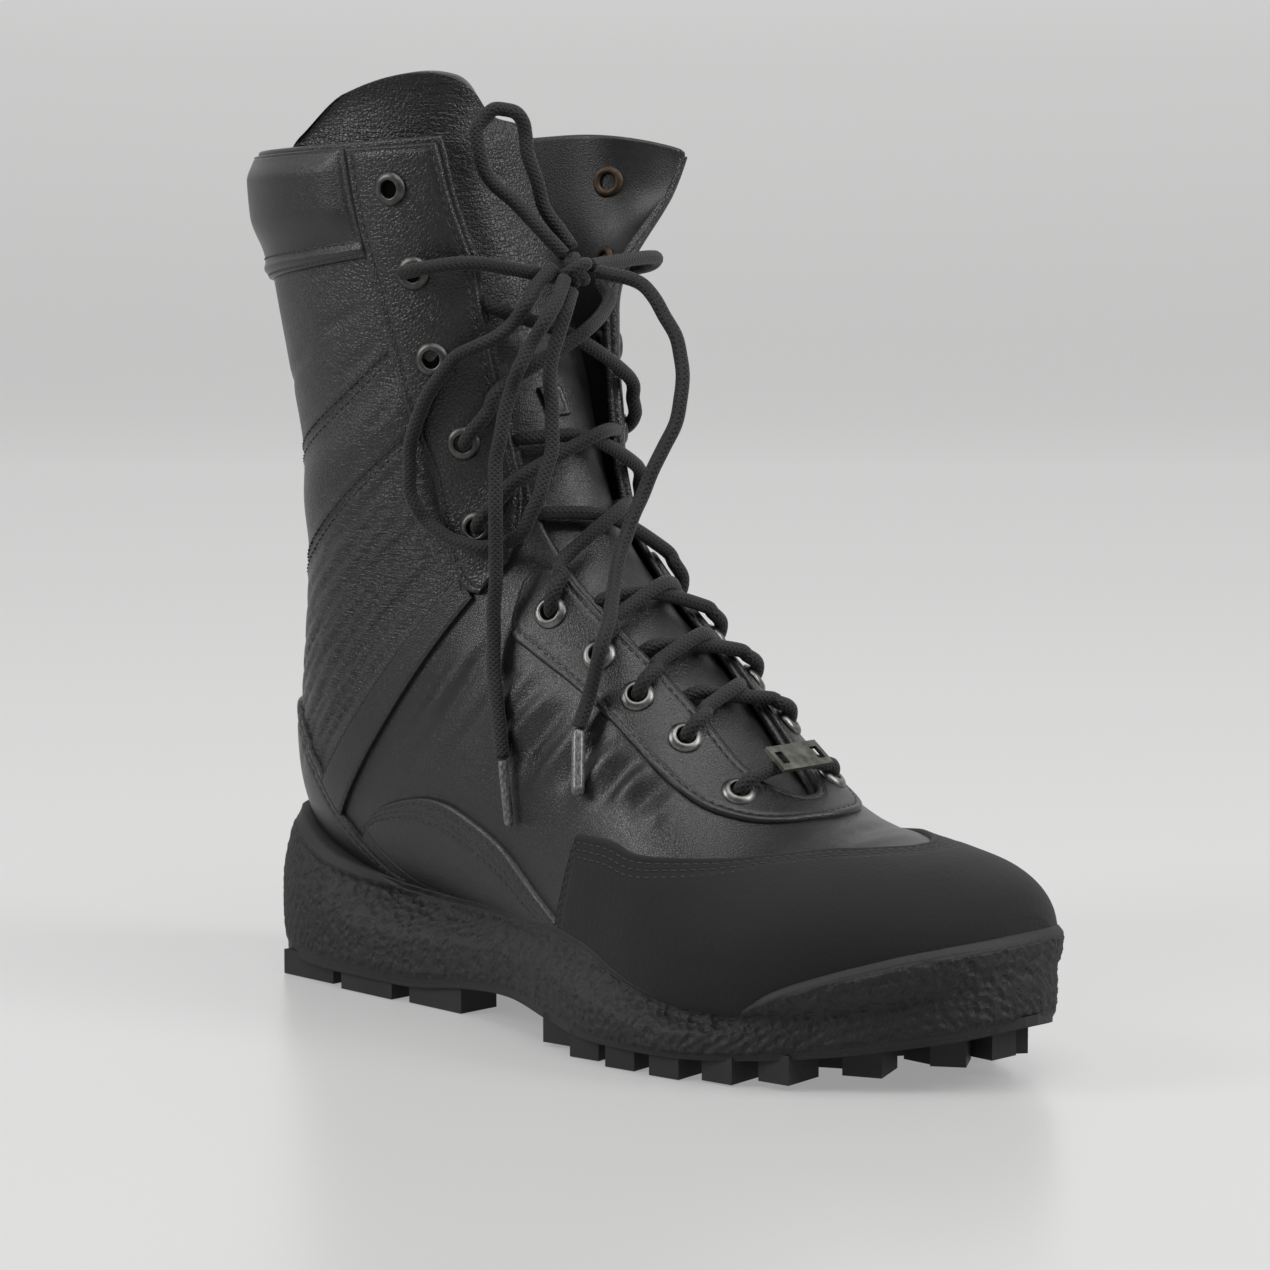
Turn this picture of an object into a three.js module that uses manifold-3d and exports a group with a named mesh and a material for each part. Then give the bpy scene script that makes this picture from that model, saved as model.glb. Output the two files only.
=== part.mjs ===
// A right lace-up tactical boot, standing empty on its sole with the shaft slack and the throat open.
// Millimetres. +X runs to the toe, +Y to the inner (medial) side, +Z up.
// The origin is on the floor under the middle of the heel.
import * as THREE from "three";
import { mergeVertices } from "three/addons/utils/BufferGeometryUtils.js";
import Module from "manifold-3d";

const wasm = await Module();
wasm.setup();
const { Manifold, Mesh } = wasm;

// Driving sizes
const UPPER_LENGTH = 279; // back of the heel to the tip of the toe, on the upper
const HEEL_REACH = 38; // from the origin back to the upper's heel
const BALL_WIDTH = 104; // the upper across the ball of the foot
const FOOTBED = 16; // floor to the bottom of the last under the ball
const SHAFT_RISE = 255; // from that footbed to the front of the collar
const WALL = 2.4; // leather and lining together
const OVERLAY = 1.3; // a leather panel sewn on top of the upper
const FLAP_FLARE = 44; // how far the medial flap's top corner falls outwards
const FLARE_FROM = 18.5; // the section where that starts
const GAP = 0.3; // between curved pieces that touch on the real boot
const SOLE_LENGTH = 294; // back of the rubber heel to the rubber toe
const SOLE_BACK = 49; // from the origin back to the end of the rubber heel
const HEEL_STACK = 53; // floor to the top of the rubber at the back of the heel
const WEB = 3; // thickness of the outsole between its lugs
const WEB_INSET = 2.5; // how far the outsole stays inside the sidewall
const LUG_DEPTH_SHARE = 0.2; // the deepest lug, of HEEL_STACK
const INSOLE = 4;
const CUTTER_REACH = 6; // how far a panel's cutting block stands either side of the surface
const COLLAR_PAD = 3; // padded leather round the collar
const KEEPER = 1.6; // thickness of the tab on the tongue
const LACE = 4.4; // diameter of the lace
const AGLET = 20; // length of the lace's tips
const AGLET_WIDE = 4;
const AGLET_NARROW = 3;
const AGLET_GAP = 0.8; // between a lace's end and its tip, which meet at a slant
const CROSS_SHORT = 0.45; // how far short of the next eyelets a crossing ends, in sections
const CROSS_CLEAR = 0.03; // how far inside the throat's edge a crossing ends, as a turn
const BAR_RISE = 2.1; // how far the lowest bar rises again beside its eyelets
const CROSS_ARCH = 2; // how far a crossing arches over the facings
const TAG_LENGTH = 21; // the metal tag, across the boot
const TAG_WIDTH = 10;
const TAG_THICK = 1.2;
const TAG_SLOT = 3;
const TAG_LIFT = 1.2; // from the lace's top to the tag's underside at its middle
const EYELET_HOLE = 8.4; // the hole punched in the leather
const EYELET_BARREL = 6.6; // the eyelet's tube through that hole
const EYELET_BORE = 5.4;
const EYELET_LIP = 10.6; // the eyelet's outer diameter
const EYELET_RISE = 1.4;
const EYELET_DEPTH = 4.2; // how far the tube reaches down from the lip
const EYELET_DISH = 1.1; // the flat ring's clearance over the curved leather
const SIDE_BULGE = 4; // how far the rubber sidewall stands out from its lips

const xAt = (share) => share * UPPER_LENGTH - HEEL_REACH;
const zAt = (share) => FOOTBED + share * SHAFT_RISE;

// Turns rows of numbers into objects with the named columns.
function table(columns, rows) {
  return rows.map((row) => Object.fromEntries(columns.map((name, i) => [name, row[i]])));
}

const range = (count) => Array.from({ length: count }, (_, i) => i);

// Reads every column of a table at a place between its rows, on a smooth curve through them,
// and on a straight line past the last row.
function readTable(rows, place) {
  const last = rows.length - 1;
  const past = Math.max(place - last, 0);
  const at = Math.min(Math.max(place, 0), last);
  const i = Math.min(Math.floor(at), last - 1);
  const f = at - i;
  const [a, b, c, d] = [-1, 0, 1, 2].map((k) => rows[Math.min(Math.max(i + k, 0), last)]);
  const out = {};
  for (const name of Object.keys(b)) {
    const slopeB = (c[name] - a[name]) / 2;
    const slopeC = (d[name] - b[name]) / 2;
    const rise = c[name] - b[name];
    out[name] =
      b[name] + f * (slopeB + f * (3 * rise - 2 * slopeB - slopeC + f * (slopeB + slopeC - 2 * rise)));
    out[name] += past * rise;
  }
  return out;
}

// The upper's sections, from the tip of the toe over the instep and up to the collar.
// A section's plane holds its front point (ridge, instep, front of the shaft) and its back point
// (bottom of the last, back of the heel, back of the shaft) and runs straight across the boot.
// X is a share of UPPER_LENGTH from the heel, Z of SHAFT_RISE from the footbed, and the half widths
// and drifts are shares of BALL_WIDTH. "widest" is how far from back to front the section is widest.
const SECTIONS = table(
  [
    "frontX", "frontZ", "backX", "backZ", "lateral", "medial",
    "backDrift", "frontDrift", "widest", "frontPower", "backPower",
  ],
  [
    [1.0, 0.102, 1.0, 0.082, 0.03, 0.03, 0.106, 0.106, 0.5, 2.0, 2.0],
    [0.994, 0.142, 0.99, 0.059, 0.15, 0.135, 0.106, 0.106, 0.42, 2.0, 2.6],
    [0.973, 0.166, 0.965, 0.045, 0.26, 0.235, 0.096, 0.106, 0.38, 2.1, 3.0],
    [0.93, 0.184, 0.92, 0.029, 0.365, 0.325, 0.077, 0.096, 0.36, 2.2, 3.2],
    [0.872, 0.195, 0.862, 0.014, 0.447, 0.395, 0.048, 0.082, 0.35, 2.2, 3.4],
    [0.805, 0.207, 0.8, 0.004, 0.5, 0.44, 0.015, 0.067, 0.35, 2.1, 3.5],
    [0.737, 0.225, 0.732, 0.0, 0.515, 0.458, -0.01, 0.053, 0.34, 2.05, 3.5],
    [0.672, 0.27, 0.66, 0.001, 0.5, 0.447, -0.022, 0.038, 0.33, 2.05, 3.4],
    [0.615, 0.334, 0.575, 0.006, 0.46, 0.41, -0.022, 0.024, 0.33, 2.1, 3.2],
    [0.562, 0.392, 0.48, 0.014, 0.42, 0.37, -0.015, 0.014, 0.35, 2.2, 3.0],
    [0.515, 0.442, 0.375, 0.027, 0.395, 0.35, -0.005, 0.005, 0.38, 2.2, 2.8],
    [0.475, 0.484, 0.262, 0.042, 0.385, 0.355, 0.0, 0.0, 0.41, 2.2, 2.7],
    [0.443, 0.524, 0.15, 0.052, 0.38, 0.36, 0.0, 0.0, 0.43, 2.2, 2.6],
    [0.421, 0.562, 0.05, 0.072, 0.38, 0.36, 0.0, 0.0, 0.45, 2.2, 2.4],
    [0.406, 0.6, -0.004, 0.137, 0.385, 0.37, 0.0, 0.0, 0.47, 2.2, 2.3],
    [0.395, 0.638, -0.018, 0.231, 0.395, 0.385, 0.0, 0.0, 0.49, 2.15, 2.2],
    [0.386, 0.68, -0.006, 0.337, 0.41, 0.4, 0.0, 0.0, 0.5, 2.1, 2.15],
    [0.377, 0.724, 0.006, 0.451, 0.425, 0.415, 0.0, 0.0, 0.5, 2.1, 2.1],
    [0.37, 0.77, 0.004, 0.569, 0.435, 0.425, 0.0, 0.0, 0.5, 2.1, 2.1],
    [0.366, 0.82, -0.02, 0.686, 0.445, 0.43, 0.0, 0.0, 0.5, 2.2, 2.1],
    [0.366, 0.875, -0.045, 0.797, 0.45, 0.44, 0.0, 0.0, 0.5, 2.3, 2.15],
    [0.369, 0.935, -0.062, 0.89, 0.46, 0.45, 0.0, 0.0, 0.5, 2.4, 2.2],
    [0.374, 1.0, -0.068, 0.96, 0.465, 0.455, 0.0, 0.0, 0.5, 2.4, 2.2],
  ],
);
const LAST_SECTION = SECTIONS.length - 1;

const smooth = (t) => {
  const u = Math.min(Math.max(t, 0), 1);
  return u * u * (3 - 2 * u);
};

// How far the slack medial flap is folded outwards: most at its top front corner. It fades out
// over the open throat, where nothing of it is left.
function flapFlare(place, turn) {
  const height = smooth((place - FLARE_FROM) / (LAST_SECTION - FLARE_FROM));
  const round = turn < 0 ? 2 + turn : turn;
  const forward = round > 1.12 ? smooth((1.5 - round) / 0.38) ** 1.5 : smooth((round - 0.76) / 0.36);
  return FLAP_FLARE * height * forward;
}

// A point of the upper's outside before its flap is folded out. place counts sections from the toe;
// turn is 0 at the back or bottom, 1 at the front, positive on the lateral side and negative on the
// medial side. Past the front it may also run on from 1 to 2 over the medial side.
function straightPoint(place, anyTurn) {
  const turn = anyTurn > 1 ? anyTurn - 2 : anyTurn;
  const s = readTable(SECTIONS, place);
  const angle = Math.abs(turn) * Math.PI;
  const across = Math.sin(angle);
  const along = Math.abs(Math.cos(angle));
  const inFront = Math.abs(turn) > 0.5;
  const power = 2 / (inFront ? s.frontPower : s.backPower);
  const share = inFront
    ? s.widest + (1 - s.widest) * along ** power
    : s.widest * (1 - along ** power);
  const half = (turn >= 0 ? -s.lateral : s.medial) * BALL_WIDTH * across ** power;
  const drift = (s.backDrift + (s.frontDrift - s.backDrift) * share) * BALL_WIDTH;
  return new THREE.Vector3(
    xAt(s.backX + (s.frontX - s.backX) * share),
    drift + half,
    zAt(s.backZ + (s.frontZ - s.backZ) * share),
  );
}

// The same point with the medial flap folded out, backwards and a little down.
function upperPoint(place, anyTurn) {
  const flare = flapFlare(place, anyTurn > 1 ? anyTurn - 2 : anyTurn);
  return straightPoint(place, anyTurn).add(new THREE.Vector3(-0.3 * flare, flare, -0.2 * flare));
}

// Makes a manifold solid of a closed BufferGeometry.
function solidOf(geometry) {
  const bare = geometry.index ? geometry.toNonIndexed() : geometry.clone();
  for (const name of Object.keys(bare.attributes)) if (name !== "position") bare.deleteAttribute(name);
  const merged = mergeVertices(bare, 1e-4);
  return new Manifold(
    new Mesh({
      numProp: 3,
      vertProperties: new Float32Array(merged.attributes.position.array),
      triVerts: new Uint32Array(merged.index.array),
    }),
  );
}

// Makes a closed solid of rings of points, each with the same number of points, capped at both ends.
function solidOfRings(rings) {
  const count = rings[0].length;
  const points = rings.flat();
  const centre = (ring) => ring.reduce((sum, p) => sum.add(p), new THREE.Vector3()).divideScalar(count);
  points.push(centre(rings[0]), centre(rings[rings.length - 1]));
  const faces = [];
  for (let r = 0; r + 1 < rings.length; r++) {
    for (let i = 0; i < count; i++) {
      const j = (i + 1) % count;
      const [a, b, c, d] = [r * count + i, r * count + j, (r + 1) * count + j, (r + 1) * count + i];
      faces.push(a, b, c, a, c, d);
    }
  }
  for (let i = 0; i < count; i++) {
    const j = (i + 1) % count;
    const top = (rings.length - 1) * count;
    faces.push(points.length - 2, j, i, points.length - 1, top + i, top + j);
  }
  const geometry = new THREE.BufferGeometry().setFromPoints(points);
  geometry.setIndex(faces);
  const solid = solidOf(geometry);
  return solid.volume() < 0 ? solidOf(flipped(geometry)) : solid;
}

function flipped(geometry) {
  const index = geometry.index.array;
  for (let i = 0; i < index.length; i += 3) [index[i + 1], index[i + 2]] = [index[i + 2], index[i + 1]];
  return geometry;
}

const AROUND = 24; // points around a section
const NUDGE = 0.01;

// The outward direction of the upper's surface.
function upperNormal(place, turn, surface = upperPoint) {
  const low = Math.max(place - NUDGE * 10, 0);
  const along = surface(place + NUDGE * 10, turn).sub(surface(low, turn));
  const round = surface(place, turn + NUDGE).sub(surface(place, turn - NUDGE));
  return round.cross(along).normalize();
}

// A point at a distance outside the upper's surface.
function offsetPoint(place, turn, distance, surface = upperPoint) {
  return surface(place, turn).addScaledVector(upperNormal(place, turn, surface), distance);
}

// The whole closed form of the upper, as if it were full, grown or shrunk by a distance.
// past lengthens it beyond the collar by a share of a section.
function upperBody(grown, past = 0) {
  const rings = [];
  for (let k = 0; k <= LAST_SECTION; k++) {
    const place = k === LAST_SECTION ? k + past : k;
    rings.push(range(AROUND).map((i) => offsetPoint(place, 1 - (2 * i) / AROUND, grown)));
  }
  return solidOfRings(rings);
}

// A block that stands through the upper's wall over a region. Each row of the region gives a
// place and the turns that it runs between, and the block reaches from inner to outer.
function wallBlock(region, inner, outer, across = 5) {
  const layer = (distance) =>
    region.map(({ place, from, to }) =>
      range(across + 1).map((i) => offsetPoint(place, from + ((to - from) * i) / across, distance)),
    );
  return gridSolid(layer(inner), layer(outer));
}

const region = (rows) => table(["place", "from", "to"], rows);
const mirrored = (rows) => rows.map(({ place, from, to }) => ({ place, from: 2 - to, to: 2 - from }));
const mirroredLow = (rows) => rows.map(({ place, from, to }) => ({ place, from: -to, to: -from }));

// Closes two grids of points, one over the other, into a solid.
function gridSolid(under, over) {
  const rows = under.length;
  const cols = under[0].length;
  const points = [...under.flat(), ...over.flat()];
  const at = (layer, r, c) => layer * rows * cols + r * cols + c;
  const faces = [];
  const quad = (p, q, r, s) => faces.push(p, q, r, p, r, s);
  for (let r = 0; r + 1 < rows; r++) {
    for (let c = 0; c + 1 < cols; c++) {
      quad(at(0, r, c), at(0, r + 1, c), at(0, r + 1, c + 1), at(0, r, c + 1));
      quad(at(1, r, c), at(1, r, c + 1), at(1, r + 1, c + 1), at(1, r + 1, c));
    }
  }
  for (let c = 0; c + 1 < cols; c++) {
    quad(at(0, 0, c), at(0, 0, c + 1), at(1, 0, c + 1), at(1, 0, c));
    quad(at(0, rows - 1, c + 1), at(0, rows - 1, c), at(1, rows - 1, c), at(1, rows - 1, c + 1));
  }
  for (let r = 0; r + 1 < rows; r++) {
    quad(at(0, r + 1, 0), at(0, r, 0), at(1, r, 0), at(1, r + 1, 0));
    quad(at(0, r, cols - 1), at(0, r + 1, cols - 1), at(1, r + 1, cols - 1), at(1, r, cols - 1));
  }
  const geometry = new THREE.BufferGeometry().setFromPoints(points);
  geometry.setIndex(faces);
  const solid = solidOf(geometry);
  return solid.volume() < 0 ? solidOf(flipped(geometry)) : solid;
}

// The sole's cross sections from the heel to the toe. x is a share of SOLE_LENGTH from its back,
// the half widths and drift are shares of BALL_WIDTH, and the heights are shares of HEEL_STACK:
// under is the underside between the lugs, and the tops are the sidewall's upper edges.
const SOLE = table(
  ["x", "lateral", "medial", "drift", "under", "lateralTop", "medialTop"],
  [
    [0.0, 0.1, 0.1, 0.0, 0.302, 0.981, 0.981],
    [0.01, 0.19, 0.19, 0.0, 0.245, 1.0, 1.0],
    [0.035, 0.28, 0.28, 0.0, 0.208, 0.962, 0.962],
    [0.075, 0.345, 0.34, 0.0, 0.189, 0.877, 0.877],
    [0.13, 0.38, 0.37, 0.0, 0.179, 0.755, 0.774],
    [0.2, 0.39, 0.375, 0.0, 0.179, 0.651, 0.689],
    [0.28, 0.38, 0.36, 0.0, 0.179, 0.594, 0.642],
    [0.36, 0.375, 0.335, -0.005, 0.236, 0.575, 0.642],
    [0.44, 0.4, 0.33, -0.01, 0.264, 0.566, 0.642],
    [0.52, 0.455, 0.36, -0.02, 0.226, 0.528, 0.585],
    [0.59, 0.515, 0.42, -0.02, 0.198, 0.453, 0.491],
    [0.66, 0.545, 0.475, -0.01, 0.198, 0.425, 0.462],
    [0.73, 0.54, 0.49, 0.01, 0.198, 0.415, 0.462],
    [0.79, 0.505, 0.47, 0.04, 0.217, 0.462, 0.5],
    [0.84, 0.46, 0.43, 0.06, 0.245, 0.557, 0.557],
    [0.89, 0.395, 0.375, 0.08, 0.283, 0.604, 0.604],
    [0.935, 0.31, 0.3, 0.095, 0.33, 0.651, 0.651],
    [0.97, 0.22, 0.21, 0.105, 0.368, 0.689, 0.689],
    [0.99, 0.13, 0.125, 0.11, 0.396, 0.708, 0.708],
    [1.0, 0.05, 0.05, 0.11, 0.415, 0.708, 0.708],
  ],
);
const soleX = (share) => share * SOLE_LENGTH - SOLE_BACK;

// The sole's side from its underside up: out is a share of SIDE_BULGE inwards, up a share of its height.
const SOLE_SIDE = table(
  ["up", "inwards"],
  [
    [0.0, 0.55],
    [0.1, 0.1],
    [0.45, 0.0],
    [0.85, 0.25],
    [1.0, 0.9],
  ],
);

// The block that the midsole is cut from, from the underside to the sidewall's upper edge.
function soleBlock(grown) {
  const rings = SOLE.map((s, i) => {
    const end = i === 0 ? -grown : i === SOLE.length - 1 ? grown : 0;
    const low = s.under * HEEL_STACK - grown;
    const side = (half, top, sign) =>
      SOLE_SIDE.map(({ up, inwards }) => {
        const reach = Math.max(half * BALL_WIDTH - inwards * SIDE_BULGE, 1) + grown;
        const z = low + up * (top * HEEL_STACK + grown - low);
        return new THREE.Vector3(soleX(s.x) + end, s.drift * BALL_WIDTH + sign * reach, z);
      });
    return [...side(s.lateral, s.lateralTop, -1), ...side(s.medial, s.medialTop, 1).reverse()];
  });
  return solidOfRings(rings);
}

// The outsole's web, which follows the underside of the midsole a gap below it.
function outsoleWeb() {
  const rings = SOLE.map((s) => {
    const top = s.under * HEEL_STACK - GAP;
    const corner = (half, sign, z) => {
      const reach = Math.max(half * BALL_WIDTH - WEB_INSET, 1);
      return new THREE.Vector3(soleX(s.x), s.drift * BALL_WIDTH + sign * reach, z);
    };
    return [
      corner(s.lateral, -1, top - WEB),
      corner(s.lateral, -1, top),
      corner(s.medial, 1, top),
      corner(s.medial, 1, top - WEB),
    ];
  });
  return solidOfRings(rings);
}

// The place in SOLE of a share of the sole's length.
function soleAt(share) {
  let i = 0;
  while (i + 2 < SOLE.length && SOLE[i + 1].x < share) i++;
  return readTable(SOLE, i + (share - SOLE[i].x) / (SOLE[i + 1].x - SOLE[i].x));
}

// One lug from the floor, or from the toe spring's line, up into the web.
function lug({ x, across, length, width, angle }) {
  const s = soleAt(x);
  const half = across > 0 ? s.medial : s.lateral;
  const top = s.under * HEEL_STACK - GAP - WEB / 2;
  const low = Math.max(s.under - LUG_DEPTH_SHARE, 0) * HEEL_STACK;
  const box = new THREE.BoxGeometry(length, width, top - low);
  box.rotateZ(THREE.MathUtils.degToRad(angle));
  const y = s.drift * BALL_WIDTH + across * (half * BALL_WIDTH - WEB_INSET - width / 2);
  box.translate(soleX(x), y, (top + low) / 2);
  return solidOf(box);
}

// The lug rows. x is a share of the sole's length, across runs from -1 at the lateral edge to 1,
// and the angle is in degrees.
const EDGE_LUG = 15;
const LUGS = table(
  ["x", "across", "length", "width", "angle"],
  [
    ...[0.1, 0.205, 0.31].flatMap((x) => [
      [x, -1, EDGE_LUG * 1.6, EDGE_LUG, 0],
      [x, 1, EDGE_LUG * 1.6, EDGE_LUG, 0],
    ]),
    [0.05, 0, EDGE_LUG, EDGE_LUG * 1.8, 0],
    [0.16, 0, EDGE_LUG, EDGE_LUG, 45],
    [0.26, 0, EDGE_LUG, EDGE_LUG, 45],
    ...[0.535, 0.592, 0.65, 0.708, 0.765, 0.82].flatMap((x) => [
      [x, -1, EDGE_LUG * 0.72, EDGE_LUG, 8],
      [x, 1, EDGE_LUG * 0.72, EDGE_LUG, -8],
    ]),
    ...[0.56, 0.64, 0.72, 0.8].flatMap((x) => [
      [x, -0.3, EDGE_LUG, EDGE_LUG * 0.8, 30],
      [x, 0.3, EDGE_LUG, EDGE_LUG * 0.8, -30],
    ]),
    [0.875, -0.75, EDGE_LUG * 0.8, EDGE_LUG, 25],
    [0.875, 0.75, EDGE_LUG * 0.8, EDGE_LUG, -25],
    [0.885, 0, EDGE_LUG * 0.8, EDGE_LUG, 0],
    [0.935, -0.5, EDGE_LUG * 0.7, EDGE_LUG * 0.8, 35],
    [0.935, 0.5, EDGE_LUG * 0.7, EDGE_LUG * 0.8, -35],
    [0.95, 0, EDGE_LUG * 0.7, EDGE_LUG * 0.7, 0],
  ],
);

// The open front between the facings, from the vamp up past the collar.
const THROAT = region([
  [6.25, 0.985, 1.015],
  [6.6, 0.955, 1.045],
  [7.1, 0.93, 1.07],
  [8.2, 0.912, 1.088],
  [9.6, 0.876, 1.124],
  [11.3, 0.852, 1.148],
  [13, 0.84, 1.16],
  [14.8, 0.834, 1.166],
  [16.9, 0.82, 1.18],
  [18.1, 0.816, 1.184],
  [19.7, 0.797, 1.19],
  [20.7, 0.764, 1.18],
  [22, 0.724, 1.16],
  [23, 0.7, 1.16],
]);

// The eyelets, one side of each pair, from the collar down to the vamp.
const EYELETS = table(
  ["place", "turn"],
  [
    [21.16, 0.637],
    [19.65, 0.675],
    [18.05, 0.694],
    [16.11, 0.734],
    [14.09, 0.734],
    [11.17, 0.778],
    [9.83, 0.801],
    [8.83, 0.817],
    [7.85, 0.85],
    [6.75, 0.875],
  ],
);

// The eyelet rows that a crossing of the lace joins. The first and third rows are empty.
const CROSSINGS = [
  [9, 8],
  [8, 7],
  [7, 6],
  [6, 5],
  [5, 4],
  [4, 2],
];

// Panels sewn over the upper, each a region of its surface.
const TOE_CAP = region([
  [1, 0.2, 1.8],
  [2, 0.2, 1.8],
  [3, 0.2, 1.8],
  [4.15, 0.2, 1.8],
]);
const TOE_WING = region([
  [3.9, 0.2, 0.97],
  [4.55, 0.2, 0.905],
  [5.2, 0.2, 0.835],
  [6, 0.2, 0.757],
  [6.8, 0.2, 0.686],
  [7.5, 0.2, 0.634],
  [8.5, 0.2, 0.588],
  [8.8, 0.2, 0.56],
]);
const COUNTER = region([
  [11.4, -0.18, 0.18],
  [12, -0.25, 0.25],
  [12.3, -0.283, 0.283],
  [12.8, -0.32, 0.32],
  [13.5, -0.328, 0.328],
  [14.4, -0.294, 0.294],
  [15.07, -0.23, 0.23],
  [15.4, -0.13, 0.13],
]);
const BACKSTAY = region([
  [15.5, -0.075, 0.075],
  [16.5, -0.06, 0.06],
  [17.8, -0.055, 0.055],
]);
const COLLAR = region([
  [20.05, -0.522, 0.522],
  [21, -0.53, 0.53],
  [21.9, -0.533, 0.533],
]);
const EYESTAY = region([
  [12.8, 0.7, 0.765],
  [13.2, 0.683, 0.8],
  [14.2, 0.675, 0.826],
  [15.8, 0.665, 0.822],
  [17.2, 0.633, 0.81],
  [18.7, 0.607, 0.803],
  [19.7, 0.586, 0.788],
  [20.7, 0.563, 0.757],
  [21.9, 0.543, 0.72],
]);
const EYESTAY_FLAP = region([
  [12.8, 1.235, 1.3],
  [13.2, 1.2, 1.317],
  [14.2, 1.174, 1.325],
  [15.8, 1.178, 1.335],
  [17.2, 1.19, 1.367],
  [18.7, 1.197, 1.393],
  [19.7, 1.2, 1.414],
  [20.7, 1.195, 1.437],
  [21.9, 1.17, 1.457],
]);
const FACING_SIDE = region([
  [6.3, 0.85, 0.96],
  [6.75, 0.812, 0.944],
  [7.2, 0.787, 0.92],
  [7.8, 0.765, 0.91],
  [8.4, 0.754, 0.898],
  [9.8, 0.728, 0.865],
  [11, 0.709, 0.848],
  [11.6, 0.707, 0.84],
  [12.15, 0.735, 0.8],
]);
const FACING_TOE = region([
  [5.75, 0.955, 1.045],
  [5.97, 0.893, 1.107],
  [6.15, 0.87, 1.13],
  [6.4, 0.845, 1.155],
]);
const STRAP = region([
  [12.92, 0.355, 0.66],
  [13.48, 0.37, 0.663],
]);
const SIDE_PANEL = region([
  [9.02, 0.2, 0.43],
  [9.9, 0.2, 0.47],
  [10.66, 0.2, 0.475],
  [11.3, 0.2, 0.468],
  [11.76, 0.24, 0.446],
  [12.2, 0.29, 0.4],
  [12.36, 0.3, 0.35],
]);

// The tongue from under the vamp up to its padded top. from and to are turns, and the depths say how
// far its face lies inside the upper's lining at its lateral edge, its middle and its medial edge.
const TONGUE = table(
  ["place", "from", "to", "lateralDepth", "middleDepth", "medialDepth", "thick"],
  [
    [6.7, 0.93, 1.07, 0.4, 0.4, 0.4, 2],
    [8, 0.86, 1.14, 0.4, 0.6, 0.4, 3],
    [9.5, 0.8, 1.2, 0.4, 1, 0.4, 4],
    [11.5, 0.76, 1.24, 0.4, 1.5, 0.4, 4.5],
    [13.5, 0.73, 1.26, 0.4, 2.5, 0.6, 5],
    [15.5, 0.68, 1.28, 0.6, 5, 1.5, 5],
    [17.5, 0.62, 1.28, 1, 9, 4, 5.5],
    [19.3, 0.55, 1.28, 2, 15, 9, 6],
    [20.8, 0.49, 1.29, 3.5, 21, 14, 6.5],
    [21.9, 0.45, 1.3, 5, 26, 18, 6.5],
    [22.3, 0.48, 1.27, 6, 28, 20, 4],
  ],
);

// A point on the tongue's face, lifted outwards. share runs from its lateral to its medial edge.
function tonguePoint(t, share, lift) {
  const turn = t.from + (t.to - t.from) * share;
  const edges = t.lateralDepth + (t.medialDepth - t.lateralDepth) * share;
  const middle = t.middleDepth - (t.lateralDepth + t.medialDepth) / 2;
  const depth = edges + middle * 4 * share * (1 - share);
  return offsetPoint(t.place, turn, lift - WALL - GAP - depth, straightPoint);
}

function makeTongue() {
  const layer = (down) => TONGUE.map((t) => range(11).map((i) => tonguePoint(t, i / 10, -down * t.thick)));
  return gridSolid(layer(1), layer(0)).intersect(upperBody(-WALL - GAP, 3));
}

// The small tab sewn to the tongue's middle, which a crossing of the lace lies over.
function makeKeeper() {
  const layer = (lift) =>
    [5.12, 5.3, 5.48].map((row) =>
      [0.44, 0.48, 0.52, 0.56].map((share) => tonguePoint(readTable(TONGUE, row), share, lift)),
    );
  return gridSolid(layer(2 * GAP), layer(2 * GAP + KEEPER));
}

// A lace along a smooth line through points.
function laceTube(points, steps) {
  const circle = new THREE.Shape();
  circle.absarc(0, 0, LACE / 2, 0, 2 * Math.PI);
  const extrudePath = new THREE.CatmullRomCurve3(points);
  const options = { steps, curveSegments: 4, extrudePath, bevelEnabled: false };
  return solidOf(new THREE.ExtrudeGeometry(circle, options));
}

const EYELET_TOP = 2 * GAP + OVERLAY + EYELET_DISH + EYELET_RISE;
const OVER_EYELET = EYELET_TOP + GAP + LACE / 2;
const OVER_FACING = 3 * GAP + OVERLAY + LACE / 2;

// The turn of the throat's lateral edge at a place.
function throatEdge(place) {
  const above = THROAT.findIndex((row) => row.place > place);
  const [low, high] = [THROAT[above - 1], THROAT[above]];
  return low.from + ((high.from - low.from) * (place - low.place)) / (high.place - low.place);
}

// One strand from an eyelet across the throat to just short of the far eyelet of an upper row.
function crossingStrand(lower, upper, side) {
  const at = (place, turn, distance) => offsetPoint(place, side > 0 ? turn : 2 - turn, distance);
  const across = (upper.place - CROSS_SHORT - lower.place) / 3;
  return laceTube(
    [
      at(lower.place, lower.turn, OVER_EYELET),
      at(lower.place + 0.4 * across, lower.turn + 0.07, OVER_EYELET + CROSS_ARCH),
      at(lower.place + 1.5 * across, 1, OVER_FACING + CROSS_ARCH),
      at(lower.place + 3 * across, 2 - throatEdge(upper.place) - CROSS_CLEAR, OVER_FACING + CROSS_ARCH / 2),
    ],
    5,
  );
}

const crossing = (lower, upper) =>
  crossingStrand(EYELETS[lower - 1], EYELETS[upper - 1], 1).add(
    crossingStrand(EYELETS[lower - 1], EYELETS[upper - 1], -1),
  );

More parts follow.
